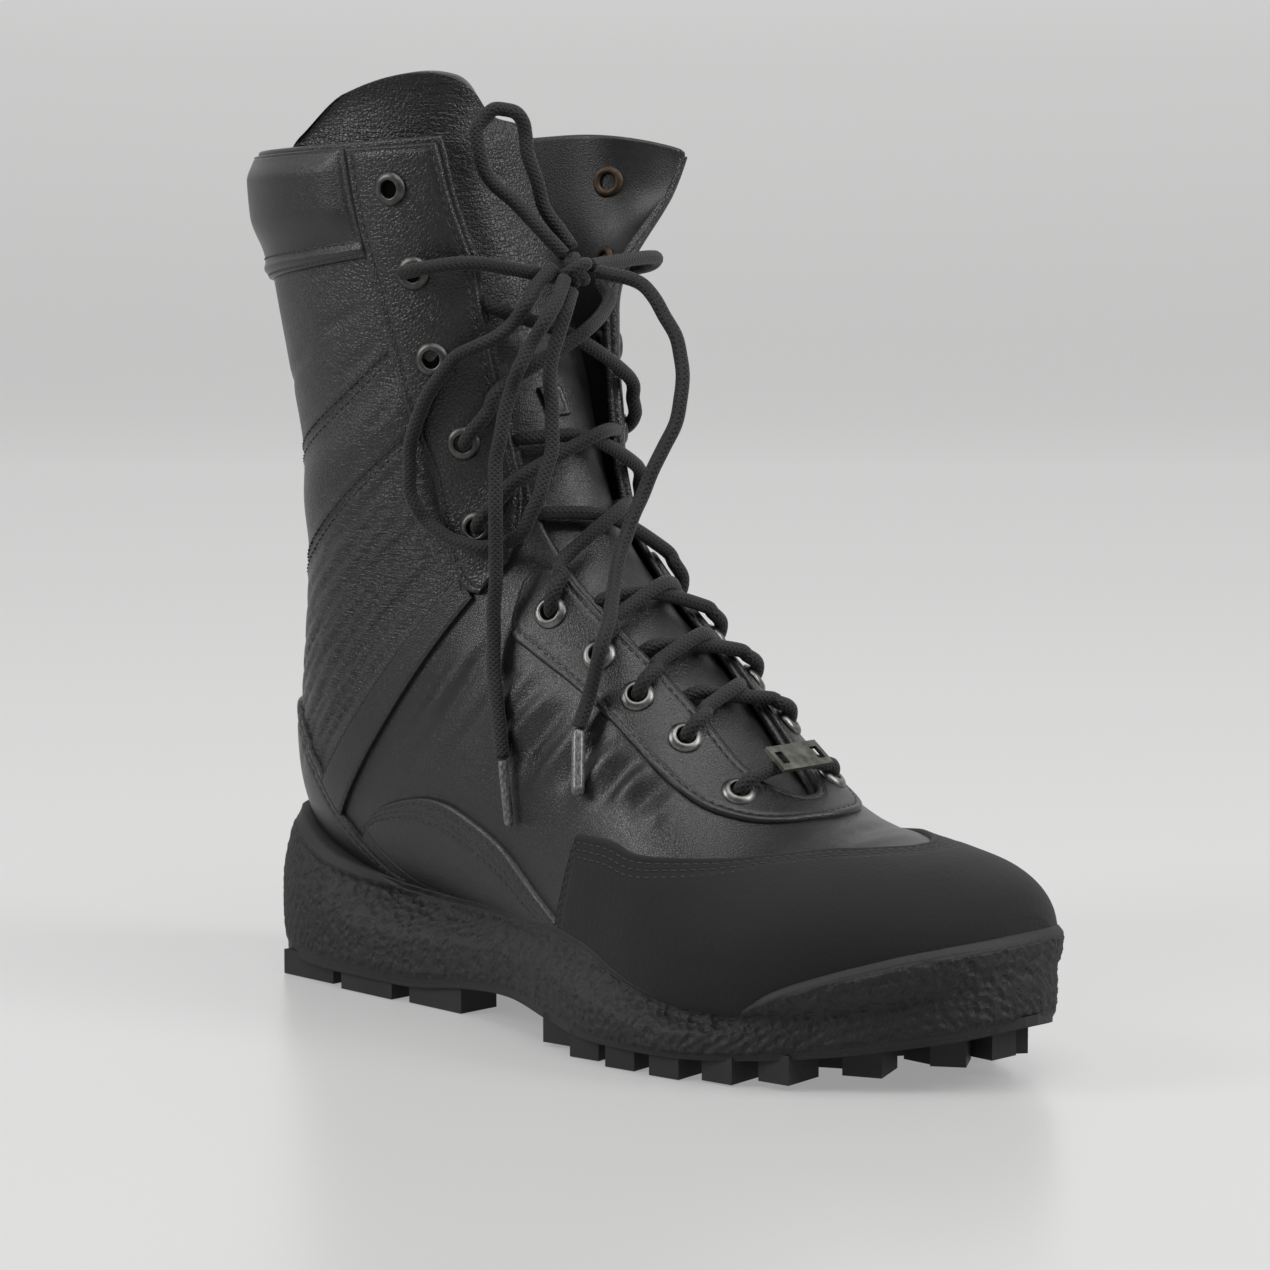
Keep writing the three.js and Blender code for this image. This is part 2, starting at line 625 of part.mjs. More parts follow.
// The free lace by its points, from the knot outwards. They lie where the photographed bow hangs.
const KNOT_AT = [71.2, -3.8, 229.4];
const KNOT = 11.2; // across the knot
const STRAND_LATERAL = [
  [41, -48, 229],
  [50, -45, 231],
  [58, -32, 232],
  [64, -6, 227],
];
const STRAND_MEDIAL = [
  [40, 51, 226],
  [50, 50, 228],
  [59, 41, 231],
  [71, 2.8, 230.5],
];
const LOOP_A = [
  [69.5, -6.8, 234.2],
  [66, -11, 240],
  [61, -14, 246],
  [57, -17, 251],
  [52, -19, 255],
  [49, -21, 260],
  [48, -22, 266],
  [47, -22, 272],
  [48, -20, 275],
  [50, -18, 278],
  [52, -15, 278],
  [55, -13, 277],
  [56, -11, 274],
  [56, -10, 270],
  [57, -10, 264],
  [59, -8, 256],
  [60, -6, 248],
  [64, -3, 241],
  [68, -2, 236],
];
const LOOP_C = [
  [68, -10, 230],
  [69, -17, 226],
  [70, -23, 220],
  [67, -26, 214],
  [65, -31, 210],
  [61, -36, 207],
  [55, -38, 204],
  [51, -40, 199],
  [47, -42, 193],
  [44, -43, 187],
  [42, -44, 181],
  [40, -44, 175],
  [40, -44, 169],
  [40, -44, 162],
  [42, -43, 157],
  [44, -41, 153],
  [49, -40, 150],
  [53, -39, 148],
  [58, -38, 147],
  [63, -36, 146],
  [68, -33, 147],
  [73, -32, 149],
  [77, -31, 152],
  [79, -30, 157],
  [81, -28, 163],
  [81, -26, 169],
  [81, -23, 176],
  [80, -22, 183],
  [79, -21, 190],
  [77, -20, 197],
  [76, -18, 204],
  [76, -15, 211],
  [76, -12, 218],
  [73, -7, 223],
];
const END_1 = [
  [77, 0, 229],
  [81, 3, 228],
  [85, 6, 227],
  [89, 8, 225],
  [93, 9, 221],
  [96, 10, 216],
  [100, 11, 210],
  [102, 11, 204],
  [104, 10, 198],
  [105, 8, 191],
  [105, 6, 184],
  [104, 2, 177],
  [103, -2, 170],
  [102, -5, 163],
  [102, -9, 157],
  [102, -12, 151],
  [103, -16, 145],
  [106, -21, 137],
  [112, -29, 128],
  [114, -34, 121],
  [112, -35, 112],
  [110, -36, 104],
  [109, -39, 96],
];
const END_2 = [
  [74, -11, 227],
  [78, -18, 221],
  [79, -24, 215],
  [76, -27, 208],
  [75, -31, 201],
  [72, -31, 195],
  [71, -33, 188],
  [71, -35, 180],
  [70, -36, 173],
  [71, -37, 166],
  [72, -38, 158],
  [72, -38, 151],
  [72, -38, 143],
  [72, -38, 136],
  [71, -38, 128],
  [71, -38, 119],
  [72, -39, 110],
  [74, -40, 104],
  [76, -41, 97],
  [78, -42, 91],
  [80, -43, 84],
];
const END_1_TIP = [115, -45, 76]; // where the laces' tips point
const END_2_TIP = [84, -44, 64];

const STEP_LENGTH = 2.2 * LACE; // a free lace's sections lie this far apart

// A free lace through a list of points.
function freeLace(rows) {
  const points = rows.map((row) => new THREE.Vector3(...row));
  const length = new THREE.CatmullRomCurve3(points).getLength();
  return laceTube(points, Math.ceil(length / STEP_LENGTH));
}

// The hard tip on the end of a lace, from a gap past the lace's last point towards another point.
function makeAglet(rows, towards, diameter) {
  const last = new THREE.Vector3(...rows[rows.length - 1]);
  const along = new THREE.Vector3(...towards).sub(last).normalize();
  const tip = new THREE.CylinderGeometry(diameter / 2, diameter / 2, AGLET, 8);
  tip.applyQuaternion(new THREE.Quaternion().setFromUnitVectors(new THREE.Vector3(0, 1, 0), along));
  const middle = last.addScaledVector(along, AGLET / 2 + AGLET_GAP);
  return solidOf(tip.translate(middle.x, middle.y, middle.z));
}

function makeKnot() {
  const knot = new THREE.SphereGeometry(KNOT / 2, 10, 8);
  return solidOf(knot.translate(...KNOT_AT));
}

// The lowest bar of the lace, from eyelet to eyelet over the foot of the throat.
function makeBottomBar() {
  const { place, turn } = EYELETS[EYELETS.length - 1];
  return laceTube(
    [
      offsetPoint(place, turn, OVER_EYELET),
      offsetPoint(place, turn + 0.05, OVER_FACING + BAR_RISE),
      offsetPoint(place, 1, OVER_FACING),
      offsetPoint(place, 2 - turn - 0.05, OVER_FACING + BAR_RISE),
      offsetPoint(place, 2 - turn, OVER_EYELET),
    ],
    8,
  );
}

// The plain metal tag over the lowest bar, with a slot each side of its middle field.
function makeLaceTag() {
  const { place } = EYELETS[EYELETS.length - 1];
  const plate = solidOf(new THREE.BoxGeometry(TAG_LENGTH, TAG_THICK, TAG_WIDTH));
  const slots = [-1, 1].map((side) => {
    const slot = new THREE.BoxGeometry(TAG_SLOT, 3 * TAG_THICK, LACE + 2 * GAP);
    return solidOf(slot.translate(side * (TAG_LENGTH / 2 - TAG_SLOT), 0, 0));
  });
  const tag = plate.subtract(join(slots)).getMesh();
  const geometry = new THREE.BufferGeometry();
  geometry.setAttribute("position", new THREE.BufferAttribute(tag.vertProperties.slice(), 3));
  geometry.setIndex(new THREE.BufferAttribute(tag.triVerts.slice(), 1));
  const normal = upperNormal(place, 1);
  const acrossBoot = new THREE.Vector3(0, 1, 0);
  const along = acrossBoot.clone().cross(normal).normalize();
  const basis = new THREE.Matrix4().makeBasis(acrossBoot, normal, along);
  const at = offsetPoint(place, 1, OVER_FACING + LACE / 2 + TAG_LIFT + TAG_THICK / 2);
  return solidOf(geometry.applyMatrix4(basis).translate(at.x, at.y, at.z));
}

const RUBBER = new THREE.MeshStandardMaterial({ color: 0x262626, roughness: 0.85 });
const LEATHER = new THREE.MeshStandardMaterial({ color: 0x1b1b1b, roughness: 0.5 });
const NUBUCK = new THREE.MeshStandardMaterial({ color: 0x141414, roughness: 0.9 });
const CORD = new THREE.MeshStandardMaterial({ color: 0x151515, roughness: 0.8 });
const METAL = new THREE.MeshStandardMaterial({ color: 0x55554f, roughness: 0.35, metalness: 1 });
const FOAM = new THREE.MeshStandardMaterial({ color: 0x2b2b2b, roughness: 0.95 });

const boot = new THREE.Group();

function addNode(name, solid, material) {
  const mesh = solid.getMesh();
  const geometry = new THREE.BufferGeometry();
  geometry.setAttribute("position", new THREE.BufferAttribute(mesh.vertProperties.slice(), 3));
  geometry.setIndex(new THREE.BufferAttribute(mesh.triVerts.slice(), 1));
  const node = new THREE.Mesh(geometry, material);
  node.name = name;
  boot.add(node);
}

const join = (solids) => solids.reduce((sum, solid) => sum.add(solid));

const closeUpper = upperBody(GAP);
const panelSkin = upperBody(GAP + OVERLAY).subtract(closeUpper);
const collarSkin = upperBody(GAP + COLLAR_PAD).subtract(closeUpper);
const soleSpace = soleBlock(GAP);

// Both sides' eyelets as [side, number, row].
const eyeletSeats = ["lateral", "medial"].flatMap((side) =>
  EYELETS.map(({ place, turn }, i) => {
    return { side, number: i + 1, place, turn: side === "lateral" ? turn : 2 - turn };
  }),
);

// A round piece turned about the surface's normal at an eyelet.
function onSurface(geometry, { place, turn }, distance) {
  const normal = upperNormal(place, turn);
  geometry.applyQuaternion(new THREE.Quaternion().setFromUnitVectors(new THREE.Vector3(0, 1, 0), normal));
  const at = offsetPoint(place, turn, distance);
  return geometry.translate(at.x, at.y, at.z);
}

const eyeletHoles = join(
  eyeletSeats.map((seat) => {
    const depth = 4 * (WALL + OVERLAY);
    const punch = new THREE.CylinderGeometry(EYELET_HOLE / 2, EYELET_HOLE / 2, depth, 6);
    return solidOf(onSurface(punch, seat, 0));
  }),
);

function makeUpper() {
  const bottom = wallBlock(
    region([
      [1.6, -0.14, 0.14],
      [3, -0.19, 0.19],
      [6, -0.2, 0.2],
      [9, -0.2, 0.2],
      [11, -0.18, 0.18],
      [12.4, -0.15, 0.15],
    ]),
    -3 * WALL,
    3 * WALL,
  );
  return upperBody(0)
    .subtract(upperBody(-WALL, 0.5))
    .subtract(wallBlock(THROAT, -4 * WALL, 3 * WALL))
    .subtract(bottom)
    .subtract(eyeletHoles);
}

// The largest body of a solid, without the slivers that a cut may leave.
const mainBody = (solid) => solid.decompose().reduce((a, b) => (b.volume() > a.volume() ? b : a));

const cutter = (rows) => wallBlock(rows, -CUTTER_REACH, CUTTER_REACH);
const panel = (regions) => mainBody(join(regions.map(cutter)).intersect(panelSkin));

// The toe cap: all of the skin ahead of the first sections, and its wings along both sides.
function makeToeCap() {
  const tip = new THREE.BoxGeometry(UPPER_LENGTH / 4, 2 * BALL_WIDTH, SHAFT_RISE / 2);
  tip.translate(upperPoint(1.3, 1).x + UPPER_LENGTH / 8, 0, zAt(0.1));
  const wings = [TOE_CAP, TOE_WING, mirrored(TOE_WING)].map(cutter);
  return mainBody(join([solidOf(tip), ...wings]).intersect(panelSkin).subtract(soleSpace));
}

function makeInsole() {
  const rings = range(13).map((i) => {
    const s = readTable(SECTIONS, 1.2 + i * 0.93);
    const half = BALL_WIDTH * Math.max(s.lateral, s.medial);
    const x = xAt(s.backX);
    const z = zAt(s.backZ);
    const centre = s.backDrift * BALL_WIDTH;
    return [
      new THREE.Vector3(x, centre - half, z - 2 * WALL),
      new THREE.Vector3(x, centre - half, z + WALL + GAP + INSOLE),
      new THREE.Vector3(x, centre + half, z + WALL + GAP + INSOLE),
      new THREE.Vector3(x, centre + half, z - 2 * WALL),
    ];
  });
  return solidOfRings(rings).intersect(upperBody(-WALL - GAP));
}

addNode("outsole", join([outsoleWeb(), ...LUGS.map(lug)]), RUBBER);
addNode("midsole", soleBlock(0).subtract(closeUpper), RUBBER);
addNode("insole", makeInsole(), FOAM);
addNode("upper", makeUpper(), LEATHER);
addNode("toe_cap", makeToeCap(), NUBUCK);
addNode("heel_counter", panel([COUNTER]).subtract(soleSpace), LEATHER);
addNode("backstay", panel([BACKSTAY]), LEATHER);
addNode("collar", cutter(COLLAR).intersect(collarSkin), LEATHER);
addNode("eyestay_lateral", panel([EYESTAY]).subtract(eyeletHoles), LEATHER);
addNode("eyestay_medial", panel([EYESTAY_FLAP]).subtract(eyeletHoles), LEATHER);
addNode(
  "lower_facing",
  panel([FACING_SIDE, FACING_TOE, mirrored(FACING_SIDE)]).subtract(eyeletHoles),
  LEATHER,
);
addNode("ankle_strap_lateral", panel([STRAP]), LEATHER);
addNode("ankle_strap_medial", panel([mirroredLow(STRAP)]), LEATHER);
addNode("side_panel_lateral", panel([SIDE_PANEL]).subtract(soleSpace), LEATHER);
addNode("side_panel_medial", panel([mirroredLow(SIDE_PANEL)]).subtract(soleSpace), LEATHER);

addNode("tongue", makeTongue(), LEATHER);
addNode("lace_keeper", makeKeeper(), LEATHER);
for (const [lower, upper] of CROSSINGS) {
  addNode(`lace_crossing_${lower}_${upper}`, crossing(lower, upper), CORD);
}
addNode("lace_bottom_bar", makeBottomBar(), CORD);
addNode("lace_strand_lateral", freeLace(STRAND_LATERAL), CORD);
addNode("lace_strand_medial", freeLace(STRAND_MEDIAL), CORD);
addNode("lace_knot", makeKnot(), CORD);
addNode("lace_loop_a", freeLace(LOOP_A), CORD);
addNode("lace_loop_c", freeLace(LOOP_C), CORD);
addNode("lace_end_1", freeLace(END_1), CORD);
addNode("lace_end_2", freeLace(END_2), CORD);
addNode("aglet_1", makeAglet(END_1, END_1_TIP, AGLET_WIDE), METAL);
addNode("aglet_2", makeAglet(END_2, END_2_TIP, AGLET_NARROW), METAL);
addNode("lace_tag", makeLaceTag(), METAL);

for (const seat of eyeletSeats) {
  const profile = [
    [EYELET_BORE, -EYELET_DEPTH],
    [EYELET_BARREL, -EYELET_DEPTH],
    [EYELET_BARREL, 0],
    [EYELET_LIP, 0],
    [EYELET_BORE, EYELET_RISE],
    [EYELET_BORE, -EYELET_DEPTH],
  ].map(([diameter, height]) => new THREE.Vector2(diameter / 2, height));
  const ring = onSurface(new THREE.LatheGeometry(profile, 8), seat, 2 * GAP + OVERLAY + EYELET_DISH);
  addNode(`eyelet_${seat.side}_${seat.number}`, solidOf(ring), METAL);
}

export default boot;
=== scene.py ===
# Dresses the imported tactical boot. Lengths are in millimetres until MM turns them into metres.
# +X runs to the toe, +Y to the inner (medial) side, +Z up, as in the CAD.
import math

import bpy
import numpy as np
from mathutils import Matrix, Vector, kdtree


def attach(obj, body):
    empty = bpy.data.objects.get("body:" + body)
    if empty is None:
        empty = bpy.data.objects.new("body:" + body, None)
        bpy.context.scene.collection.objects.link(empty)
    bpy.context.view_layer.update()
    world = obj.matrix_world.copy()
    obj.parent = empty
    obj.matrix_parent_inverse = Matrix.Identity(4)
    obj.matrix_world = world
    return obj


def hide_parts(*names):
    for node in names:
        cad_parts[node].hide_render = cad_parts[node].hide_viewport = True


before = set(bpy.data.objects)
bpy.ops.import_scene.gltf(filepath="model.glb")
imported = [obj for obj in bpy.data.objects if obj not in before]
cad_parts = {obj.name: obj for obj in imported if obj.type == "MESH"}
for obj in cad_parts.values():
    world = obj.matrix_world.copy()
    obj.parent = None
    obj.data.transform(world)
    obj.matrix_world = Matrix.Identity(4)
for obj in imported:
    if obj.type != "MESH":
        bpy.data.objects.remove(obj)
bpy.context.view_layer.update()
MM = 0.001

# The camera, from the photograph: a long lens from the outer front quarter
CAMERA_AZIMUTH = 45.5
CAMERA_HEIGHT_ANGLE = 7.8
CAMERA_DISTANCE = 1500.0
CAMERA_TARGET = (93.5, 0.0, 118.7)
FOCAL_PIXELS = 4905.0
FRAME_PIXELS = 1270.0
SENSOR = 36.0

# The boot's driving sizes, as in the CAD
UPPER_LENGTH = 279.0
HEEL_REACH = 38.0
BALL_WIDTH = 104.0
FOOTBED = 16.0
SHAFT_RISE = 255.0
WALL = 2.4
OVERLAY = 1.3
GAP = 0.3
FLAP_FLARE = 44.0
FLARE_FROM = 18.5
SOLE_LENGTH = 294.0
SOLE_BACK = 49.0
HEEL_STACK = 53.0
SIDE_BULGE = 4.0
LACE = 4.4

# The upper's sections from the toe to the collar: front X and Z, back X and Z, half widths on the
# lateral and medial side, drifts at the back and front, the widest place, and two roundnesses.
SECTIONS = np.array([
    (1.0, 0.102, 1.0, 0.082, 0.03, 0.03, 0.106, 0.106, 0.5, 2.0, 2.0),
    (0.994, 0.142, 0.99, 0.059, 0.15, 0.135, 0.106, 0.106, 0.42, 2.0, 2.6),
    (0.973, 0.166, 0.965, 0.045, 0.26, 0.235, 0.096, 0.106, 0.38, 2.1, 3.0),
    (0.93, 0.184, 0.92, 0.029, 0.365, 0.325, 0.077, 0.096, 0.36, 2.2, 3.2),
    (0.872, 0.195, 0.862, 0.014, 0.447, 0.395, 0.048, 0.082, 0.35, 2.2, 3.4),
    (0.805, 0.207, 0.8, 0.004, 0.5, 0.44, 0.015, 0.067, 0.35, 2.1, 3.5),
    (0.737, 0.225, 0.732, 0.0, 0.515, 0.458, -0.01, 0.053, 0.34, 2.05, 3.5),
    (0.672, 0.27, 0.66, 0.001, 0.5, 0.447, -0.022, 0.038, 0.33, 2.05, 3.4),
    (0.615, 0.334, 0.575, 0.006, 0.46, 0.41, -0.022, 0.024, 0.33, 2.1, 3.2),
    (0.562, 0.392, 0.48, 0.014, 0.42, 0.37, -0.015, 0.014, 0.35, 2.2, 3.0),
    (0.515, 0.442, 0.375, 0.027, 0.395, 0.35, -0.005, 0.005, 0.38, 2.2, 2.8),
    (0.475, 0.484, 0.262, 0.042, 0.385, 0.355, 0.0, 0.0, 0.41, 2.2, 2.7),
    (0.443, 0.524, 0.15, 0.052, 0.38, 0.36, 0.0, 0.0, 0.43, 2.2, 2.6),
    (0.421, 0.562, 0.05, 0.072, 0.38, 0.36, 0.0, 0.0, 0.45, 2.2, 2.4),
    (0.406, 0.6, -0.004, 0.137, 0.385, 0.37, 0.0, 0.0, 0.47, 2.2, 2.3),
    (0.395, 0.638, -0.018, 0.231, 0.395, 0.385, 0.0, 0.0, 0.49, 2.15, 2.2),
    (0.386, 0.68, -0.006, 0.337, 0.41, 0.4, 0.0, 0.0, 0.5, 2.1, 2.15),
    (0.377, 0.724, 0.006, 0.451, 0.425, 0.415, 0.0, 0.0, 0.5, 2.1, 2.1),
    (0.37, 0.77, 0.004, 0.569, 0.435, 0.425, 0.0, 0.0, 0.5, 2.1, 2.1),
    (0.366, 0.82, -0.02, 0.686, 0.445, 0.43, 0.0, 0.0, 0.5, 2.2, 2.1),
    (0.366, 0.875, -0.045, 0.797, 0.45, 0.44, 0.0, 0.0, 0.5, 2.3, 2.15),
    (0.369, 0.935, -0.062, 0.89, 0.46, 0.45, 0.0, 0.0, 0.5, 2.4, 2.2),
    (0.374, 1.0, -0.068, 0.96, 0.465, 0.455, 0.0, 0.0, 0.5, 2.4, 2.2),
])
LAST_SECTION = len(SECTIONS) - 1

# The sole's sections from the heel: x, half widths, drift, underside and the sidewall's two tops.
SOLE = np.array([
    (0.0, 0.1, 0.1, 0.0, 0.302, 0.981, 0.981),
    (0.01, 0.19, 0.19, 0.0, 0.245, 1.0, 1.0),
    (0.035, 0.28, 0.28, 0.0, 0.208, 0.962, 0.962),
    (0.075, 0.345, 0.34, 0.0, 0.189, 0.877, 0.877),
    (0.13, 0.38, 0.37, 0.0, 0.179, 0.755, 0.774),
    (0.2, 0.39, 0.375, 0.0, 0.179, 0.651, 0.689),
    (0.28, 0.38, 0.36, 0.0, 0.179, 0.594, 0.642),
    (0.36, 0.375, 0.335, -0.005, 0.236, 0.575, 0.642),
    (0.44, 0.4, 0.33, -0.01, 0.264, 0.566, 0.642),
    (0.52, 0.455, 0.36, -0.02, 0.226, 0.528, 0.585),
    (0.59, 0.515, 0.42, -0.02, 0.198, 0.453, 0.491),
    (0.66, 0.545, 0.475, -0.01, 0.198, 0.425, 0.462),
    (0.73, 0.54, 0.49, 0.01, 0.198, 0.415, 0.462),
    (0.79, 0.505, 0.47, 0.04, 0.217, 0.462, 0.5),
    (0.84, 0.46, 0.43, 0.06, 0.245, 0.557, 0.557),
    (0.89, 0.395, 0.375, 0.08, 0.283, 0.604, 0.604),
    (0.935, 0.31, 0.3, 0.095, 0.33, 0.651, 0.651),
    (0.97, 0.22, 0.21, 0.105, 0.368, 0.689, 0.689),
    (0.99, 0.13, 0.125, 0.11, 0.396, 0.708, 0.708),
    (1.0, 0.05, 0.05, 0.11, 0.415, 0.708, 0.708),
])

# The tongue's rows: place, turns from and to, depth at its lateral edge, middle and medial edge, thickness
TONGUE = np.array([
    (6.7, 0.93, 1.07, 0.4, 0.4, 0.4, 2.0),
    (8.0, 0.86, 1.14, 0.4, 0.6, 0.4, 3.0),
    (9.5, 0.8, 1.2, 0.4, 1.0, 0.4, 4.0),
    (11.5, 0.76, 1.24, 0.4, 1.5, 0.4, 4.5),
    (13.5, 0.73, 1.26, 0.4, 2.5, 0.6, 5.0),
    (15.5, 0.68, 1.28, 0.6, 5.0, 1.5, 5.0),
    (17.5, 0.62, 1.28, 1.0, 9.0, 4.0, 5.5),
    (19.3, 0.55, 1.28, 2.0, 15.0, 9.0, 6.0),
    (20.8, 0.49, 1.29, 3.5, 21.0, 14.0, 6.5),
    (21.9, 0.45, 1.3, 5.0, 26.0, 18.0, 6.5),
    (22.3, 0.48, 1.27, 6.0, 28.0, 20.0, 4.0),
])

# Eyelets from the collar down to the vamp: place and turn
EYELETS = (
    (21.16, 0.637), (19.65, 0.675), (18.05, 0.694), (16.11, 0.734), (14.09, 0.734), (11.17, 0.778),
    (9.83, 0.801), (8.83, 0.817), (7.85, 0.85), (6.75, 0.875),
)


def smooth(t):
    u = np.clip(t, 0, 1)
    return u * u * (3 - 2 * u)


def read_table(rows, place):
    """Every column of a table at places between its rows, on a smooth curve through them."""
    last = len(rows) - 1
    place = np.asarray(place, float)
    past = np.maximum(place - last, 0)
    at = np.clip(place, 0, last)
    i = np.minimum(np.floor(at).astype(int), last - 1)
    f = (at - i)[..., None]
    a, b, c, d = (rows[np.clip(i + k, 0, last)] for k in (-1, 0, 1, 2))
    slope_b = (c - a) / 2
    slope_c = (d - b) / 2
    rise = c - b
    bend = f * (slope_b + slope_c - 2 * rise)
    curve = b + f * (slope_b + f * (3 * rise - 2 * slope_b - slope_c + bend))
    return curve + past[..., None] * rise


def curve_through(points, count):
    """A smooth curve through given points, as count points."""
    return read_table(np.array(points, float), np.linspace(0, len(points) - 1, count))


def flap_flare(place, turn):
    height = smooth((place - FLARE_FROM) / (LAST_SECTION - FLARE_FROM))
    round_turn = np.where(turn < 0, 2 + turn, turn)
    falling = smooth((1.5 - round_turn) / 0.38) ** 1.5
    rising = smooth((round_turn - 0.76) / 0.36)
    return FLAP_FLARE * height * np.where(round_turn > 1.12, falling, rising)


def straight_point(place, any_turn):
    """The upper's outside before its flap is folded out. turn is 0 at the back, 1 at the front."""
    place, any_turn = np.broadcast_arrays(np.asarray(place, float), np.asarray(any_turn, float))
    turn = np.where(any_turn > 1, any_turn - 2, any_turn)
    columns = np.moveaxis(read_table(SECTIONS, place), -1, 0)
    front_x, front_z, back_x, back_z, lateral, medial, back_drift, front_drift = columns[:8]
    widest, front_power, back_power = columns[8:]
    angle = np.abs(turn) * np.pi
    across = np.abs(np.sin(angle))
    along = np.abs(np.cos(angle))
    in_front = np.abs(turn) > 0.5
    power = 2 / np.where(in_front, front_power, back_power)
    front_share = widest + (1 - widest) * along ** power
    share = np.where(in_front, front_share, widest * (1 - along ** power))
    half = np.where(turn >= 0, -lateral, medial) * BALL_WIDTH * across ** power
    drift = (back_drift + (front_drift - back_drift) * share) * BALL_WIDTH
    x = (back_x + (front_x - back_x) * share) * UPPER_LENGTH - HEEL_REACH
    z = FOOTBED + (back_z + (front_z - back_z) * share) * SHAFT_RISE
    return np.stack([x, drift + half, z], -1)


def upper_point(place, any_turn):
    place, any_turn = np.broadcast_arrays(np.asarray(place, float), np.asarray(any_turn, float))
    flare = flap_flare(place, np.where(any_turn > 1, any_turn - 2, any_turn))
    return straight_point(place, any_turn) + flare[..., None] * np.array([-0.3, 1, -0.2])


def upper_normal(place, turn, surface=upper_point):
    place, turn = np.broadcast_arrays(np.asarray(place, float), np.asarray(turn, float))
    along = surface(place + 0.1, turn) - surface(np.maximum(place - 0.1, 0), turn)
    around = surface(place, turn + 0.01) - surface(place, turn - 0.01)
    normal = np.cross(around, along)
    return normal / np.linalg.norm(normal, axis=-1, keepdims=True)


def skin(place, turn, lift, surface=upper_point):
    """A point lift millimetres outside the upper's surface."""
    lift = np.asarray(lift, float)
    return surface(place, turn) + upper_normal(place, turn, surface) * lift[..., None]


# Node trees


class Nodes:
    """A short way to write a material's nodes."""

    def __init__(self, name):
        self.material = bpy.data.materials.new(name)
        self.material.use_nodes = True
        self.tree = self.material.node_tree
        self.shader = self.tree.nodes["Principled BSDF"]

    def add(self, kind, settings=None, **inputs):
        node = self.tree.nodes.new(kind)
        for key, value in (settings or {}).items():
            setattr(node, key, value)
        for key, value in inputs.items():
            self.put(node.inputs[key.replace("_", " ")], value)
        return node

    def put(self, socket, value):
        if hasattr(value, "is_output"):
            self.tree.links.new(value, socket)
        elif isinstance(value, tuple):
            socket.default_value = (*value, 1)
        else:
            socket.default_value = value

    def math(self, operation, a, b, c=0.0):
        node = self.tree.nodes.new("ShaderNodeMath")
        node.operation = operation
        for socket, value in zip(node.inputs, (a, b, c)):
            self.put(socket, value)
        return node.outputs[0]

    def place(self, scale=(1, 1, 1)):
        coordinates = self.add("ShaderNodeTexCoord")
        mapping = self.add("ShaderNodeMapping")
        mapping.inputs["Scale"].default_value = scale
        self.tree.links.new(coordinates.outputs["Object"], mapping.inputs["Vector"])
        return mapping.outputs[0]

    def noise(self, scale, detail=4.0, rough=0.55, stretch=(1, 1, 1)):
        node = self.add("ShaderNodeTexNoise", Scale=scale, Detail=detail, Roughness=rough)
        self.tree.links.new(self.place(stretch), node.inputs["Vector"])
        return node.outputs["Fac"]

    def cells(self, scale, feature="DISTANCE_TO_EDGE", stretch=(1, 1, 1), warp=0.0):
        node = self.add("ShaderNodeTexVoronoi", {"feature": feature}, Scale=scale)
        vector = self.place(stretch)
        if warp:
            shake = self.add("ShaderNodeTexNoise", Scale=scale * 0.7, Detail=2.0)
            self.tree.links.new(vector, shake.inputs["Vector"])
            moved = self.tree.nodes.new("ShaderNodeVectorMath")
            moved.operation = "MULTIPLY_ADD"
            self.tree.links.new(shake.outputs["Color"], moved.inputs[0])
            moved.inputs[1].default_value = (warp, warp, warp)
            self.tree.links.new(vector, moved.inputs[2])
            vector = moved.outputs[0]
        self.tree.links.new(vector, node.inputs["Vector"])
        return node.outputs["Distance"]

    def ramp(self, fac, *stops):
        node = self.tree.nodes.new("ShaderNodeValToRGB")
        elements = node.color_ramp.elements
        while len(elements) < len(stops):
            elements.new(0.5)
        for element, (position, value) in zip(elements, stops):
            element.position = position
            element.color = (*value, 1) if isinstance(value, tuple) else (value, value, value, 1)
        self.tree.links.new(fac, node.inputs["Fac"])
        return node.outputs["Color"]

    def bump(self, height, distance, strength=1.0, under=None):
        node = self.tree.nodes.new("ShaderNodeBump")
        node.inputs["Distance"].default_value = distance * MM
        node.inputs["Strength"].default_value = strength
        self.tree.links.new(height, node.inputs["Height"])
        if under is not None:
            self.tree.links.new(under, node.inputs["Normal"])
        return node.outputs["Normal"]

    def mix(self, blend, factor, a, b):
        node = self.tree.nodes.new("ShaderNodeMix")
        node.data_type = "RGBA"
        node.blend_type = blend
        node.inputs["Factor"].default_value = factor
        self.tree.links.new(a, node.inputs["A"])
        self.tree.links.new(b, node.inputs["B"])
        return node.outputs["Result"]

    def finish(self, color, roughness, normal=None, **shader):
        self.put(self.shader.inputs["Base Color"], color)
        self.put(self.shader.inputs["Roughness"], roughness)
        if normal is not None:
            self.put(self.shader.inputs["Normal"], normal)
        for key, value in shader.items():
            self.put(self.shader.inputs[key.replace("_", " ")], value)
        return self.material


